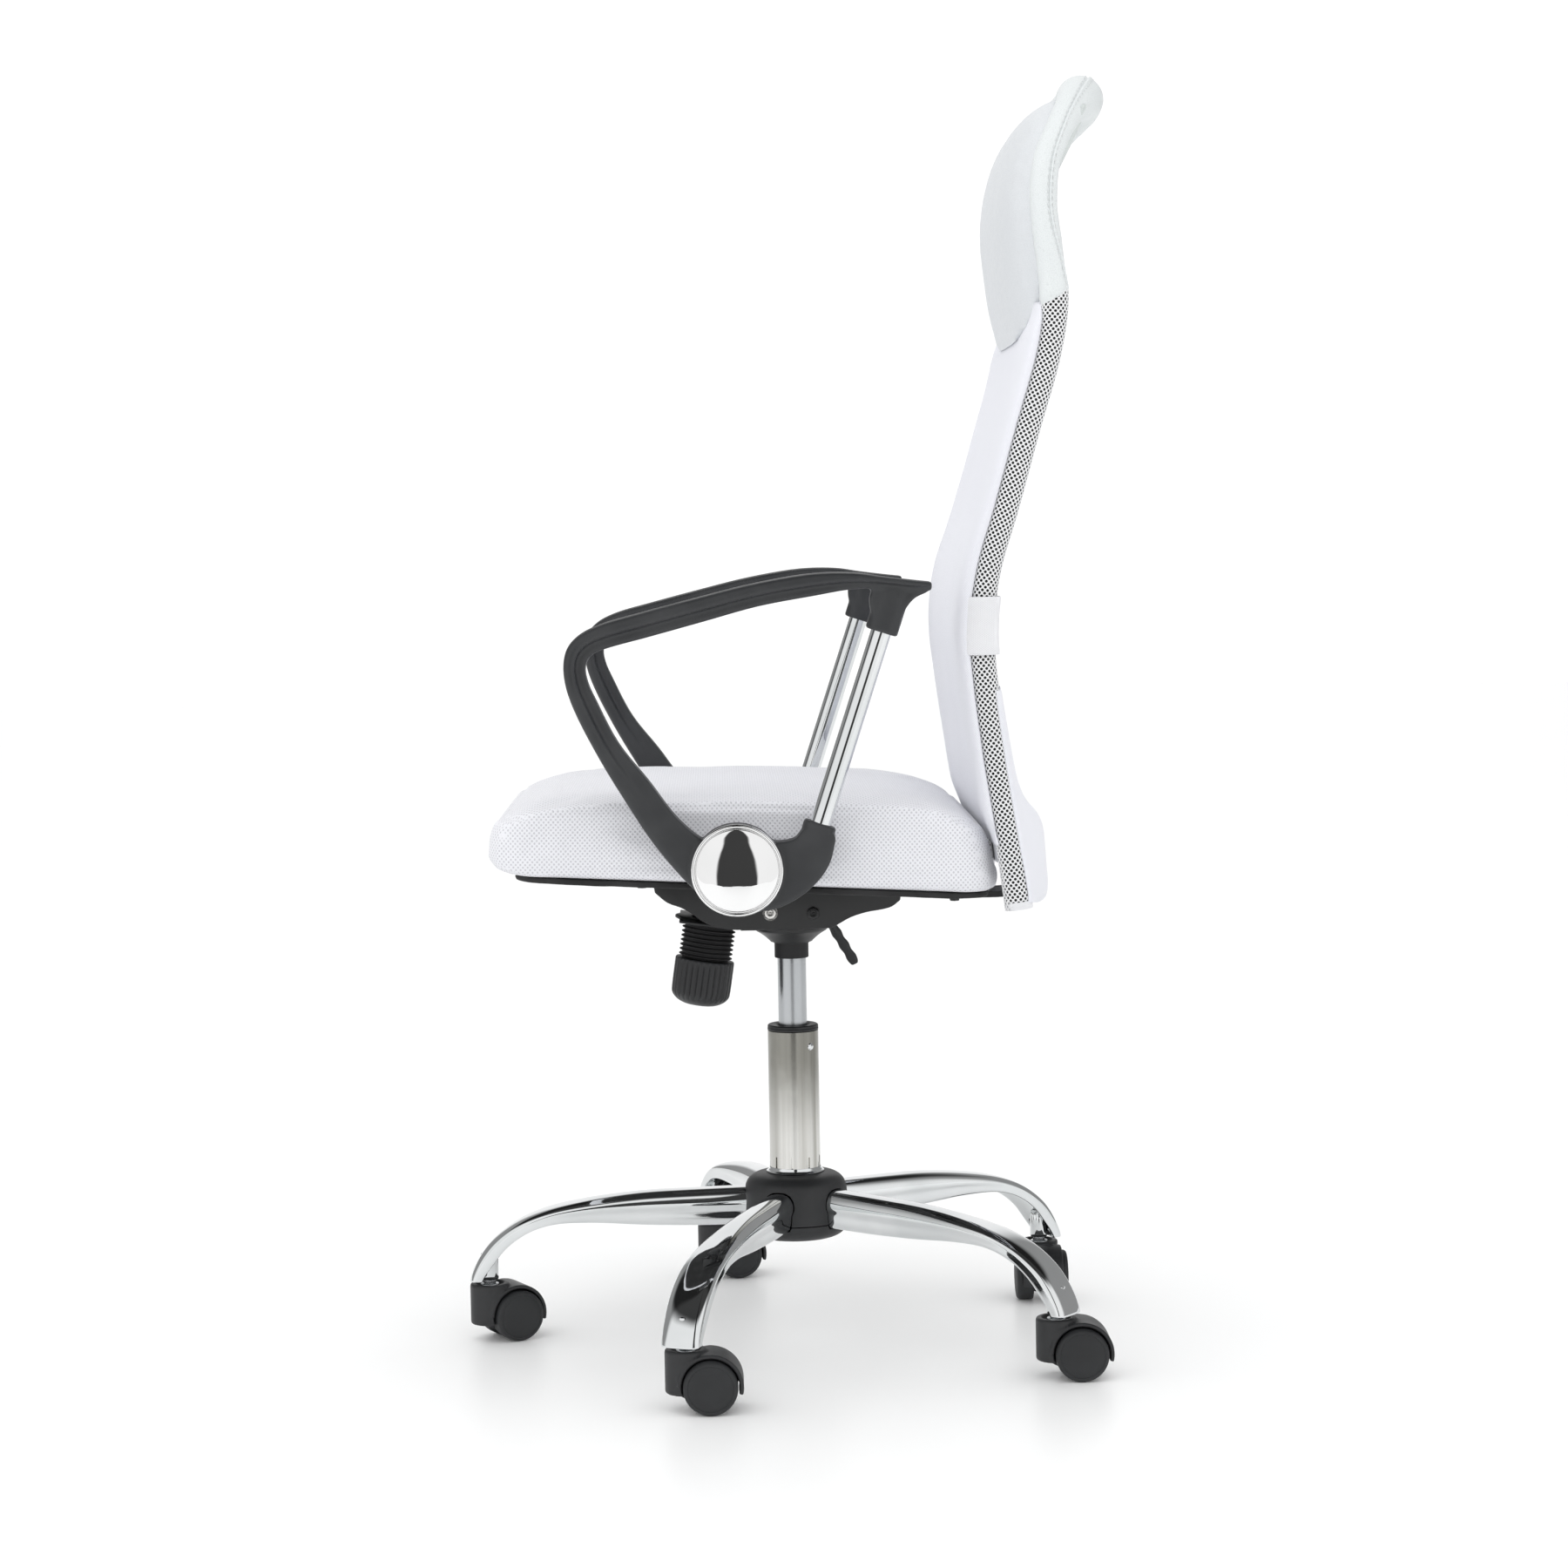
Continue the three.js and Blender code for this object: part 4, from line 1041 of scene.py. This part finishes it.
def add_frame():
    """Bent steel tube: two uprights joined over the top."""
    path = even(FRAME_PATH, 9)
    rings = []
    for i, point in enumerate(path):
        _, rear, out = directions(path, i)
        rings.append([point + rear * a + out * b for a, b in superellipse(28, FRAME_R, FRAME_R, 2)])
    tube = loft("frame_tube", rings)
    finished(tube, POWDER, "tilt", ["back_frame"], 50)


def add_sleeves():
    """Perforated cloth round each upright: a lattice of cells, each with its own opening."""
    columns, rise = 16, 2.75
    radius = 11.2
    for side, word in ((1, "left"), (-1, "right")):
        low = [p for p in FRAME_PATH if p.x > FRAME_X - 0.5 and p.z < COVER_LOW + 15]
        foot = low[0] + (low[0] - low[1]).normalized() * 2
        path = even([foot, *low], rise / 4)
        rows = (len(path) - 1) // 4 - 1
        points, faces = [], []

        def put(column, row, path=path, points=points, side=side):
            """A point of the lattice: column round the tube, row along it, both in cells."""
            share = min(max(row * 4 + 2, 0), len(path) - 1)
            i = min(int(share), len(path) - 2)
            _, rear, out = directions(path, i)
            centre = path[i].lerp(path[i + 1], share - i)
            angle = 2 * math.pi * column / columns
            place = centre + rear * (12.1 * math.sin(angle) - 1.2) + out * (radius - 0.4) * math.cos(angle)
            points.append((side * place.x, place.y, place.z))
            return len(points) - 1

        apex, flank = 0.62, 0.38
        corners = [(0, apex), (0.5, flank), (0.5, -flank), (0, -apex), (-0.5, -flank), (-0.5, flank)]
        for row in range(rows):
            for column in range(columns):
                centre = column + 0.5 * (row % 2)
                rim = [put(centre + a, row + b) for a, b in corners]
                hole = []
                for k in range(8):
                    angle = math.pi / 2 - 2 * math.pi * (k + 0.5) / 8
                    hole.append(put(centre + 0.285 * math.cos(angle), row + 0.49 * math.sin(angle)))
                faces += [
                    (rim[0], rim[1], hole[1], hole[0]), (rim[1], rim[2], hole[2], hole[1]),
                    (rim[2], rim[3], hole[3], hole[2]), (rim[3], hole[4], hole[3]),
                    (rim[3], rim[4], hole[5], hole[4]), (rim[4], rim[5], hole[6], hole[5]),
                    (rim[5], rim[0], hole[7], hole[6]), (rim[0], hole[0], hole[7]),
                ]
        sleeve = build(f"upright_sleeve_{word}", points, faces)
        solidify(sleeve, 0.45, 1.0)
        finished(sleeve, SLEEVE_CLOTH, "tilt", sharp=180)
        hem = []
        start = even([foot, *low], 1.0)
        for i in range(8):
            _, rear, out = directions(start, i)
            grow = radius + 0.9 - 0.5 * abs(i - 3.5) / 3.5
            circle = [start[i] + rear * a + out * b for a, b in superellipse(40, grow, grow, 2)]
            hem.append([(side * q.x, q.y, q.z) for q in circle])
        cuff = loft(f"sleeve_hem_{word}", hem, caps=False)
        finished(solidify(cuff, 0.6), BAND_CLOTH, "tilt", sharp=60)


def panel_front(z):
    """How far the stretched mesh stands in front of the tubes' middle."""
    return 21.3 + 3.2 * math.exp(-(((z - 735) / 75) ** 2)) + 0.8 * math.exp(-(((z - 950) / 40) ** 2))


def add_back_panel():
    heights = [501, 504, *range(510, 990, 9), 996, 1002]
    rings = []
    for z in heights:
        y = upright_y(z)
        # The mesh thins at both ends and draws in at the top, behind the headrest pad.
        squeeze = eased((540 - z) / 38) + 0.6 * eased((z - 968) / 26)
        front = mix(-panel_front(z), -14.6, min(1.0, squeeze))
        back = -13.6 + 1.0 * eased((535 - z) / 30)
        tuck = 14 * eased((z - 984) / 18)
        closing = 1 - eased(min(z - 498, 1007 - z) / 7)
        hollow = 3.0 * eased((z - 560) / 60) * eased((970 - z) / 60)
        half = [
            (0, front + hollow), (70, front + 0.9 * hollow), (140, front + 0.5 * hollow), (190, front),
            (212 - tuck, front + 0.4), (221 - tuck, front * 0.9), (225.2 - tuck, front * 0.76),
            (225.6 - tuck, -13.9), (223.5 - tuck, -12.2), (219.5 - tuck, -12.9), (212 - tuck, back),
            (190, back), (120, back), (60, back + 0.3 * hollow), (0, back + 0.4 * hollow),
        ]
        line = through([*half, *[(-a, b) for a, b in reversed(half[1:-1])]], 3, True)
        middle = (front + back) / 2
        rings.append([(a, y + mix(b, middle, 0.6 * closing), z) for a, b in line])
    panel = loft("back_mesh_panel", rings)

    def creased(point, normal):
        return normal * (0.35 * ripple(point, 55, 2.0) + 0.12 * ripple(point, 14, 8.0))

    push(subdivide(panel), creased)
    finished(panel, BACK_CLOTH, "tilt", ["back_panel"], 180)


def add_lumbar_band():
    """Dense strap round both uprights and behind the mesh, with a raised line along each edge."""
    half = [
        (224.2, -16), (226.6, -12), (228.0, -6), (228.4, 0), (227.4, 6.5), (224, 11.5), (218.5, 14.0),
        (210, 14.6), (180, 14.9), (120, 15.2), (60, 15.4),
    ]
    line = through([*half, (0, 15.5), *[(-x, y) for x, y in reversed(half)]], 4)
    rings = []
    for k in range(15):
        z = mix(678.5, 731.5, k / 14)
        edge = 0.5 * (math.exp(-(((k - 1.4) / 0.8) ** 2)) + math.exp(-(((k - 12.6) / 0.8) ** 2)))
        ring = []
        for x, y in line:
            fuzz = 0.35 * ripple((x, y, z), 16, 4.0) + 0.25 * ripple((x, y, z), 5, 2.0)
            away = Vector((x, y * 6, 0)).normalized() * (edge + fuzz)
            ring.append((x + away.x, upright_y(z) + y + away.y, z))
        rings.append(ring)
    band = loft("lumbar_support_band", rings, open_ring=True)
    solidify(band, 1.6)
    finished(bevel(band, 0.4, 2, 60), BAND_CLOTH, "tilt", ["lumbar_strap"], 60)


# Middle line of the cloth cover behind the bracket, from its lower edge up: [y, z].
REAR_LINE = [
    (240, 438.5), (245.5, 440.5), (248.2, 446.5), (248.8, 455), (248, 466), (246.5, 490), (244.5, 507),
    (238.5, 519), (231, 527.5), (224, 539), (217, 558), (211, 588), (206.5, 614), (201, 646),
]
REAR_HALF = 204


def add_rear_cover():
    """Loose cloth from upright to upright, bulging over the bracket in the middle."""
    rings = []
    for middle, z in through(REAR_LINE, 4):
        ring = []
        near = upright_y(z)
        edge = [(223.6, near + 7.5), (221.0, near + 10.2), (216.5, near + 11.9), (211, near + 12.4)]
        inner = []
        for x in (204, 190, 172, 150, 125, 95, 60, 27):
            inner.append((x, mix(middle, near + 12.5, (x / REAR_HALF) ** 2.2)))
        half = [*edge, *inner]
        row = through([*half, (0, middle), *[(-x, y) for x, y in reversed(half)]], 3)
        sag = 12 * eased((520 - z) / 80)
        for x, y in row:
            ring.append((x, y, z + sag * (abs(x) / 224) ** 2))
        rings.append(ring)
    cover = loft("rear_pouch", rings, open_ring=True)

    def slack(point, normal):
        x, y, z = point
        loose = eased((640 - z) / 120) * (1 - eased((abs(x) - 170) / 40))
        wave = 0.8 * ripple((x, y, z * 0.4), 40, 6.0) + 0.3 * ripple(point, 15, 1.0)
        return Vector((0, 1, 0)) * loose * wave

    push(cover, slack)
    solidify(cover, 2.2, 0.0)
    finished(subdivide(cover), BACK_CLOTH, "tilt", ["rear_cover"], 60)


# ------------------------------------------------------------------ headrest
def seam_angle(along):
    """The rear seam runs from the back of the hem, at 0 mm along the rim, to the rim's outer side."""
    return math.radians(mix(74, 27, eased(along / 75)))


def rim_radius(x):
    return mix(22.2, 12.6, eased((abs(x) - 105) / 100))


def rim_path(step):
    path = even(FRAME_PATH, 1.0)
    return even([p for p in path if p.z > COVER_LOW - 2], step)


def rim_forward(x):
    """How far the rim stands in front of the tube on the uprights, where it is flattest."""
    return 2.2 * eased((abs(x) - 150) / 60)


def add_headrest_rim():
    """Padded cover round the top of the frame, sewn along its rear seam."""
    path = rim_path(5)
    near = [d / 100 for d in (-30, -19, -14, -10, -6, -3, 0, 3, 6, 11, 18, 30)]
    spread = [0.30 + (2 * math.pi - 0.60) * k / 34 for k in range(1, 34)]
    rings = []
    count = len(path)
    for i, point in enumerate(path):
        _, rear, out = directions(path, i)
        end = min(i, count - 1 - i)
        lip = 0.7 * math.exp(-((end - 1.0) ** 2)) - (1.4 if end == 0 else 0.0)
        ring = []
        seam = seam_angle(5 * end)
        for off in near + spread:
            angle = seam + off
            ridge = 1.1 * math.exp(-((off / 0.08) ** 2)) - 1.3 * math.exp(-(((off + 0.12) / 0.035) ** 2))
            away = out * math.cos(angle) + rear * math.sin(angle)
            fold = 0.45 * ripple(point + away * 12, 26, 3.0) + 0.25 * ripple(point + away * 12, 9, 7.0)
            grow = rim_radius(point.x) + lip + ridge + fold
            slope = 5.5 * math.sin(angle) * max(0.0, 1 - end / 5)
            ring.append(point - rear * rim_forward(point.x) + away * grow + Vector((0, 0, slope)))
        rings.append(ring)
    rim = loft("headrest_rim", rings)
    finished(rim, LEATHER, "tilt", ["headrest_cover"], 70)


STITCH_PITCH = 6.4
STITCH_SIDES = 6


def add_headrest_stitching():
    """Two rows of short stitches along the seam."""
    points, faces = [], []
    stitches = rim_path(STITCH_PITCH)
    for i in range(1, len(stitches) - 1):
        point = stitches[i]
        along, rear, out = directions(stitches, i)
        seam = seam_angle(STITCH_PITCH * min(i, len(stitches) - 1 - i))
        for lean in (-0.21, 0.14):
            angle = seam + lean
            away = out * math.cos(angle) + rear * math.sin(angle)
            across = along.cross(away)
            centre = point - rear * rim_forward(point.x) + away * (rim_radius(point.x) + 0.35)
            first = len(points)
            for share, size in ((-1, 0.1), (-0.75, 0.75), (0, 1.0), (0.75, 0.75), (1, 0.1)):
                for k in range(STITCH_SIDES):
                    turned = 2 * math.pi * k / STITCH_SIDES
                    offset = (away * math.cos(turned) + across * math.sin(turned)) * 0.5 * size
                    points.append(centre + along * share * 2.1 + offset)
            for r in range(4):
                for k in range(STITCH_SIDES):
                    n = (k + 1) % STITCH_SIDES
                    a, b = first + r * STITCH_SIDES, first + (r + 1) * STITCH_SIDES
                    faces.append((a + k, a + n, b + n, b + k))
            faces.append(tuple(first + k for k in reversed(range(STITCH_SIDES))))
            faces.append(tuple(first + 4 * STITCH_SIDES + k for k in range(STITCH_SIDES)))
    stitching = build("headrest_stitching", points, faces)
    finished(stitching, THREAD, "tilt", sharp=60)


def add_headrest_back():
    """Leather panel that closes the space inside the rim."""
    rows = []
    for k in range(25):
        z = mix(COVER_LOW - 1, 1184, k / 24)
        spine = upright_y(min(z, 1090)) + 42 * eased((z - 1085) / 118)
        wide = 206 - 20 * eased((z - 1110) / 70)
        front, back = [], []
        for j in range(41):
            a = 2 * j / 40 - 1
            puff = (1 - abs(a) ** 3.2) ** 0.7
            x = wide * a
            wave = 0.5 * ripple((x, 0, z), 45, 2.0)
            front.append((x, spine - 2 - 4 * puff, z))
            back.append((x, spine + 3 + 7.5 * puff + wave, z))
        rows.append(front + back[::-1])
    panel = loft("headrest_back", rows)
    # The panel wears the darker copy of the white leather: painted shade on the rear face.
    finished(subdivide(panel), REAR_LEATHER_PAINTED_SHADE, "tilt", sharp=60)


# Pad edge and pad front in the middle, from the lower tip up: [height, y].
PAD_EDGE = [
    (965, 220), (974, 224), (984, 230), (1000, 237), (1015, 239.5), (1040, 237.5), (1075, 232),
    (1107, 233), (1144, 239.5), (1160, 246), (1178, 255), (1188, 261), (1197, 266),
]
PAD_FRONT = [
    (965, 217), (974, 212.5), (989, 209.5), (1005, 207.5), (1035, 205.5), (1062, 203), (1085, 201),
    (1106, 203), (1129, 207), (1155, 213.5), (1170, 217.5), (1181, 222), (1189, 228), (1197, 241),
]
PAD_HALF = 200
PAD_MIDDLE = 1081.5
PAD_TALL = 115.5


def pad_level(table, z):
    heights, depths = zip(*through(table, 4), strict=True)
    return float(np.interp(z, heights, depths))


def add_headrest_pad():
    """A pillow whose edge meets the rim and whose front is drawn by PAD_FRONT."""
    rims = superellipse(96, 1.0, 1.0, 3.7)
    shares = [0.04, 0.12, *np.linspace(0.2, 0.9, 12), 0.935, 0.962, 0.982, 0.994, 1.0]

    def layer(share, back):
        ring = []
        for a, b in rims:
            x, z = PAD_HALF * a * share, PAD_MIDDLE + PAD_TALL * b * share
            edge = pad_level(PAD_EDGE, z)
            if back:
                y = edge + 3.0 * (1 - share**4)
            else:
                full = (1 - share**6) ** 0.55 * (1 - 0.22 * (x / PAD_HALF) ** 2)
                y = mix(edge, pad_level(PAD_FRONT, z), full)
            ring.append((x, y, z))
        return ring

    rings = [layer(share, False) for share in shares]
    rings += [layer(share, True) for share in reversed(shares[:-1])]
    pad = loft("headrest_cushion", rings)
    fill(pad, 5, 4.0, 2.5, lambda p: eased((p.y - pad_level(PAD_EDGE, p.z) + 9) / 7))

    def dressed(point, normal):
        x, y, z = point
        edge = math.hypot(max(0, abs(x) - 120) / 60, max(0, 1000 - z) / 40)
        pucker = 0.35 * edge * ripple((x, y, z), 11, 9.0)
        return normal * (0.5 * ripple(point, 42, 3.0) + pucker)

    push(pad, dressed)
    # The pad wears the darker copy of the white leather: painted shade.
    finished(pad, PAD_LEATHER_PAINTED_SHADE, "tilt", ["headrest_pad"], 180)


# ------------------------------------------------------------------ arms
# From the rear tip over the pad, round the front and down to the disc: outer y, z, inner y, z.
ARM_STATIONS = [
    (127, 746.5, 127, 739), (110, 748.5, 108, 738.5), (84, 752, 84, 741), (58, 756, 56, 741),
    (20, 756, 20, 735.5), (-33, 748, -30, 727), (-85, 736, -80, 714), (-137, 723, -132, 700.5),
    (-172, 713.5, -164, 692.5), (-191, 704.5, -177, 688), (-202, 693, -184, 682),
    (-206, 678, -186.5, 673), (-204.5, 659, -184, 660), (-197, 636, -177.5, 645),
    (-177, 595, -158, 606), (-154, 555, -131, 571), (-129, 515.5, -104, 535), (-103, 483, -78, 515),
    (-84, 464, -60, 515),
]
TUBE_FOOT = (15.5, 506)
TUBE_HEAD = (91.4, 733)


def tube_matrix(share):
    y, z = mix(TUBE_FOOT[0], TUBE_HEAD[0], share), mix(TUBE_FOOT[1], TUBE_HEAD[1], share)
    lean = math.degrees(math.atan2(TUBE_HEAD[0] - TUBE_FOOT[0], TUBE_HEAD[1] - TUBE_FOOT[1]))
    return at(ARM_X, y, z) @ turn(-lean, "X")


TUBE_LENGTH = math.hypot(TUBE_HEAD[0] - TUBE_FOOT[0], TUBE_HEAD[1] - TUBE_FOOT[1])


def arm_beam():
    """The moulded loop: a wide outer face with a narrower web inside it."""
    outer = through([(s[0], s[1]) for s in ARM_STATIONS], 5)
    inner = through([(s[2], s[3]) for s in ARM_STATIONS], 5)
    rings = []
    for i, ((y0, z0), (y1, z1)) in enumerate(zip(outer, inner, strict=True)):
        station = i / 5
        depth = math.hypot(y1 - y0, z1 - z0)
        tip = eased(station / 1.2)
        wide = mix(22.8, 14.0, eased((station - 12.6) / 3.2)) * mix(0.80, 1.0, tip)
        web = min(wide - 0.2, 13.8)
        edge = min(4.0, depth * 0.3)
        half = [
            (0, -0.3), (wide * 0.55, 0.0), (wide * 0.84, edge * 0.16), (wide * 0.955, edge * 0.5),
            (wide, edge), (wide, depth * 0.42), (wide * 0.985, depth * 0.49),
            (wide * 0.95, depth * 0.525), (web + 0.8, depth * 0.54), (web, depth * 0.58),
            (web, depth * 0.8), (web, depth * 0.92), (web * 0.94, depth * 0.98), (web * 0.72, depth),
            (0, depth),
        ]
        both = half + [(-x, d) for x, d in reversed(half[1:-1])]
        uy, uz = (y1 - y0) / depth, (z1 - z0) / depth
        rings.append([(ARM_X + x, y0 + uy * d, z0 + uz * d) for x, d in both])
    return loft("arm_beam", rings)


def arm_socket(start, end, wide_start, wide_end):
    """A sleeve round the tube, from one share of its length to another."""
    rings = []
    length = TUBE_LENGTH * (end - start)
    for k in range(9):
        t = k / 8
        size = mix(wide_start, wide_end, t)
        rings.append([(a, b, length * t) for a, b in superellipse(40, size * 0.97, size * 1.04, 3.0)])
    return moved(loft("socket", rings), tube_matrix(start))


def arm_loop():
    heel = through([
        (-76, 470), (-62, 456), (-45, 451.5), (-23, 452.5), (-8, 457.5), (8, 467), (22, 480), (31, 494),
        (35, 508), (36, 519), (27, 524), (8, 525.5), (1, 517.5), (-8, 514.6), (-24, 514.6), (-42, 518),
        (-62, 519),
    ], 4, True)
    gusset = through([
        (94, 699), (98.5, 712), (103.5, 723), (112, 732.5), (124, 738.5), (122, 744), (104, 745),
        (82, 745), (72, 738), (72, 720), (80, 704),
    ], 3, True)
    edge = DISC_R - 1
    drum = [
        (0, ARM_IN), (edge, ARM_IN), (DISC_R, ARM_IN + 1.2), (DISC_R, ARM_OUT - 1.2), (edge, ARM_OUT),
        (0, ARM_OUT),
    ]
    parts = [
        arm_beam(),
        slab("gusset", gusset, ARM_X - 12, ARM_X + 12),
        slab("heel", heel, ARM_X - 14, ARM_X + 14),
        moved(lathe("boss", drum, 80), at(0, *DISC) @ ALONG_X),
        arm_socket(-0.03, 0.105, 14.0, 14.6),
        arm_socket(0.862, 1.05, 14.4, 14.4),
    ]
    arm = remesh(joined(parts), 1.7, 5, 0.5)
    bore = lathe("bore", [(0, -2), (9.75, -2), (9.75, TUBE_LENGTH + 1), (0, TUBE_LENGTH + 1)], 56)
    carve(arm, [moved(bore, tube_matrix(0))])
    return arm


def add_arms():
    loop = arm_loop()
    top = TUBE_LENGTH
    tube = lathe("tube", [(0, 0), (8.8, 0), (9.45, 0.8), (9.45, top - 0.8), (8.8, top), (0, top)], 64)
    moved(tube, tube_matrix(0))
    x = ARM_OUT + 0.4
    ring = [(41.5, 0.3), (41.9, 1.6), (41.5, 3.0), (40.3, 3.9), (38.9, 3.6), (38.1, 2.6)]
    dome = [(37.6, 2.4), (37.2, 3.4), (35.4, 4.2), (30, 5.4), (22, 6.7), (12, 7.6), (4, 7.98), (0.02, 8)]
    face = [(0, 0), (DISC_R, 0), *through(ring, 3), *through(dome, 3)]
    disc = lathe("disc", [(r, x + rise) for r, rise in face], 128)
    moved(disc, at(0, *DISC) @ ALONG_X)
    for word, mirror in (("left", Matrix.Identity(4)), ("right", Matrix.Scale(-1, 4, (1, 0, 0)))):
        parts = [
            (loop, f"arm_{word}", CHARCOAL, "charcoal_plastic", f"arm_loop_{word}", 60),
            (tube, f"arm_post_{word}", CHROME, "chrome", f"arm_tube_{word}", 30),
            (disc, f"arm_medallion_{word}", DISC_CHROME, "chrome", f"arm_disc_{word}", 40),
        ]
        for source, name, material, slot, node, sharp in parts:
            finished(copied(source, name, mirror), material, "tilt", [node], sharp)
    discard((loop, tube, disc))


# ------------------------------------------------------------------ carried-over nodes
def paint_nodes():
    """Give the CAD nodes that stay in view their finished materials."""
    kept = {
        "hub_socket": POWDER, "thrust_bearing": STEEL, "piston_rod": STEEL, "tension_bolt": STEEL,
        "arm_strap": POWDER, "back_cross_bar": POWDER, "back_bracket": POWDER, "lever_bush": BLACK,
    }
    for name, material in kept.items():
        for slot in bpy.data.objects[name].material_slots:
            slot.material = material


# ------------------------------------------------------------------ studio
CAMERA_PLACE = (3.3784, -0.0663, 0.7873)
CAMERA_YAW = 1.048
CAMERA_PITCH = 4.051
CAMERA_ROLL = -1.017
LENS = 79.43


def add_camera():
    yaw, pitch, roll = (math.radians(a) for a in (CAMERA_YAW, CAMERA_PITCH, CAMERA_ROLL))
    forward = Vector((-math.cos(pitch) * math.cos(yaw), math.cos(pitch) * math.sin(yaw), -math.sin(pitch)))
    right = forward.cross(Vector((0, 0, 1))).normalized()
    up = right.cross(forward)
    right, up = right * math.cos(roll) + up * math.sin(roll), up * math.cos(roll) - right * math.sin(roll)
    camera = bpy.data.objects.new("camera", bpy.data.cameras.new("camera"))
    camera.data.lens = LENS
    camera.data.sensor_width = 36
    camera.data.clip_end = 100
    rotation = Matrix((right, up, -forward)).transposed().to_4x4()
    camera.matrix_world = Matrix.Translation(CAMERA_PLACE) @ rotation
    bpy.context.collection.objects.link(camera)
    bpy.context.scene.camera = camera


FLOOR_REACH = 14000
FLOOR_FRONT = 2150


def add_floor():
    far, near = FLOOR_REACH, FLOOR_FRONT
    floor = build(
        "floor", [(-far, -far, 0), (near, -far, 0), (near, far, 0), (-far, far, 0)], [(0, 1, 2, 3)]
    )
    p = Paint("studio_floor", Roughness=0.34, Specular_IOR_Level=0.22)
    cloud = p.noise(2.2, 3)
    floor.data.materials.append(p.set(
        Base_Color=p.blend(cloud, rgb(0.98, 0.985, 0.985), rgb(0.992, 0.995, 0.995)),
        Roughness=p.ramp(cloud, 0.3, 0.7, 0.30, 0.38),
    ))


def add_world():
    """White all round for plain light, with a dark ceiling and gaps for the chrome to show."""
    world = bpy.data.worlds.new("studio")
    bpy.context.scene.world = world
    world.use_nodes = True
    tree = world.node_tree
    nodes, links = tree.nodes, tree.links
    background = nodes["Background"]
    way = nodes.new("ShaderNodeTexCoord").outputs["Generated"]
    split = nodes.new("ShaderNodeSeparateXYZ")
    links.new(way, split.inputs[0])
    x, y, z = split.outputs

    def link(value, socket):
        if isinstance(value, bpy.types.NodeSocket):
            links.new(value, socket)
        else:
            socket.default_value = value

    def calc(operation, a, b=0.0):
        made = nodes.new("ShaderNodeMath")
        made.operation = operation
        link(a, made.inputs[0])
        link(b, made.inputs[1])
        return made.outputs[0]

    def step(value, low, high, start=0.0, end=1.0):
        made = nodes.new("ShaderNodeMapRange")
        made.interpolation_type = "SMOOTHSTEP"
        keys = ("Value", "From Min", "From Max", "To Min", "To Max")
        for key, item in zip(keys, (value, low, high, start, end), strict=True):
            link(item, made.inputs[key])
        return made.outputs[0]

    side = calc("ABSOLUTE", y)
    azimuth = calc("DIVIDE", calc("ARCTAN2", side, x), math.pi)
    strip_edge = calc("SUBTRACT", 0.058, calc("MULTIPLY", z, 0.045))
    strip = step(calc("SUBTRACT", azimuth, strip_edge), -0.008, 0.008, 0.0, 1.0)
    shaded_side = calc("MULTIPLY", step(azimuth, 0.37, 0.47), step(azimuth, 0.93, 0.86))
    walls = calc("SUBTRACT", 1.0, calc("MULTIPLY", shaded_side, 0.68))
    ceiling = step(z, 0.62, 0.80, 1.0, 0.05)
    pattern = calc("MULTIPLY", calc("MULTIPLY", walls, ceiling), step(strip, 0.0, 1.0, 0.05, 1.0))
    glossy = nodes.new("ShaderNodeLightPath").outputs["Is Glossy Ray"]
    amount = nodes.new("ShaderNodeMix")
    links.new(glossy, amount.inputs[0])
    amount.inputs[2].default_value = 1.10
    links.new(pattern, amount.inputs[3])
    links.new(amount.outputs[0], background.inputs["Strength"])
    background.inputs["Color"].default_value = (1.0, 1.0, 1.0, 1.0)


def add_light(name, place, target, size, power):
    light = bpy.data.lights.new(name, "AREA")
    light.shape = "RECTANGLE"
    light.size, light.size_y = size
    light.energy = power
    obj = bpy.data.objects.new(name, light)
    aim = (Vector(target) - Vector(place)).to_track_quat("-Z", "Y")
    obj.matrix_world = Matrix.Translation(place) @ aim.to_matrix().to_4x4()
    obj.visible_glossy = False
    bpy.context.collection.objects.link(obj)


def add_studio():
    bpy.context.scene.view_settings.view_transform = "Standard"
    add_world()
    add_light("overhead", (0.6, -0.4, 3.2), (0, 0, 0.5), (2.6, 2.6), 10)
    add_light("front_left", (2.6, -2.4, 2.0), (0, 0, 0.6), (1.8, 1.8), 6)
    add_floor()


add_camera()
add_studio()
add_legs()
add_hub()
add_casters()
add_column()
add_mechanism()
add_lever()
add_board()
add_cushion()
add_frame()
add_sleeves()
add_back_panel()
add_lumbar_band()
add_rear_cover()
add_headrest_rim()
add_headrest_stitching()
add_headrest_back()
add_headrest_pad()
add_arms()
paint_nodes()
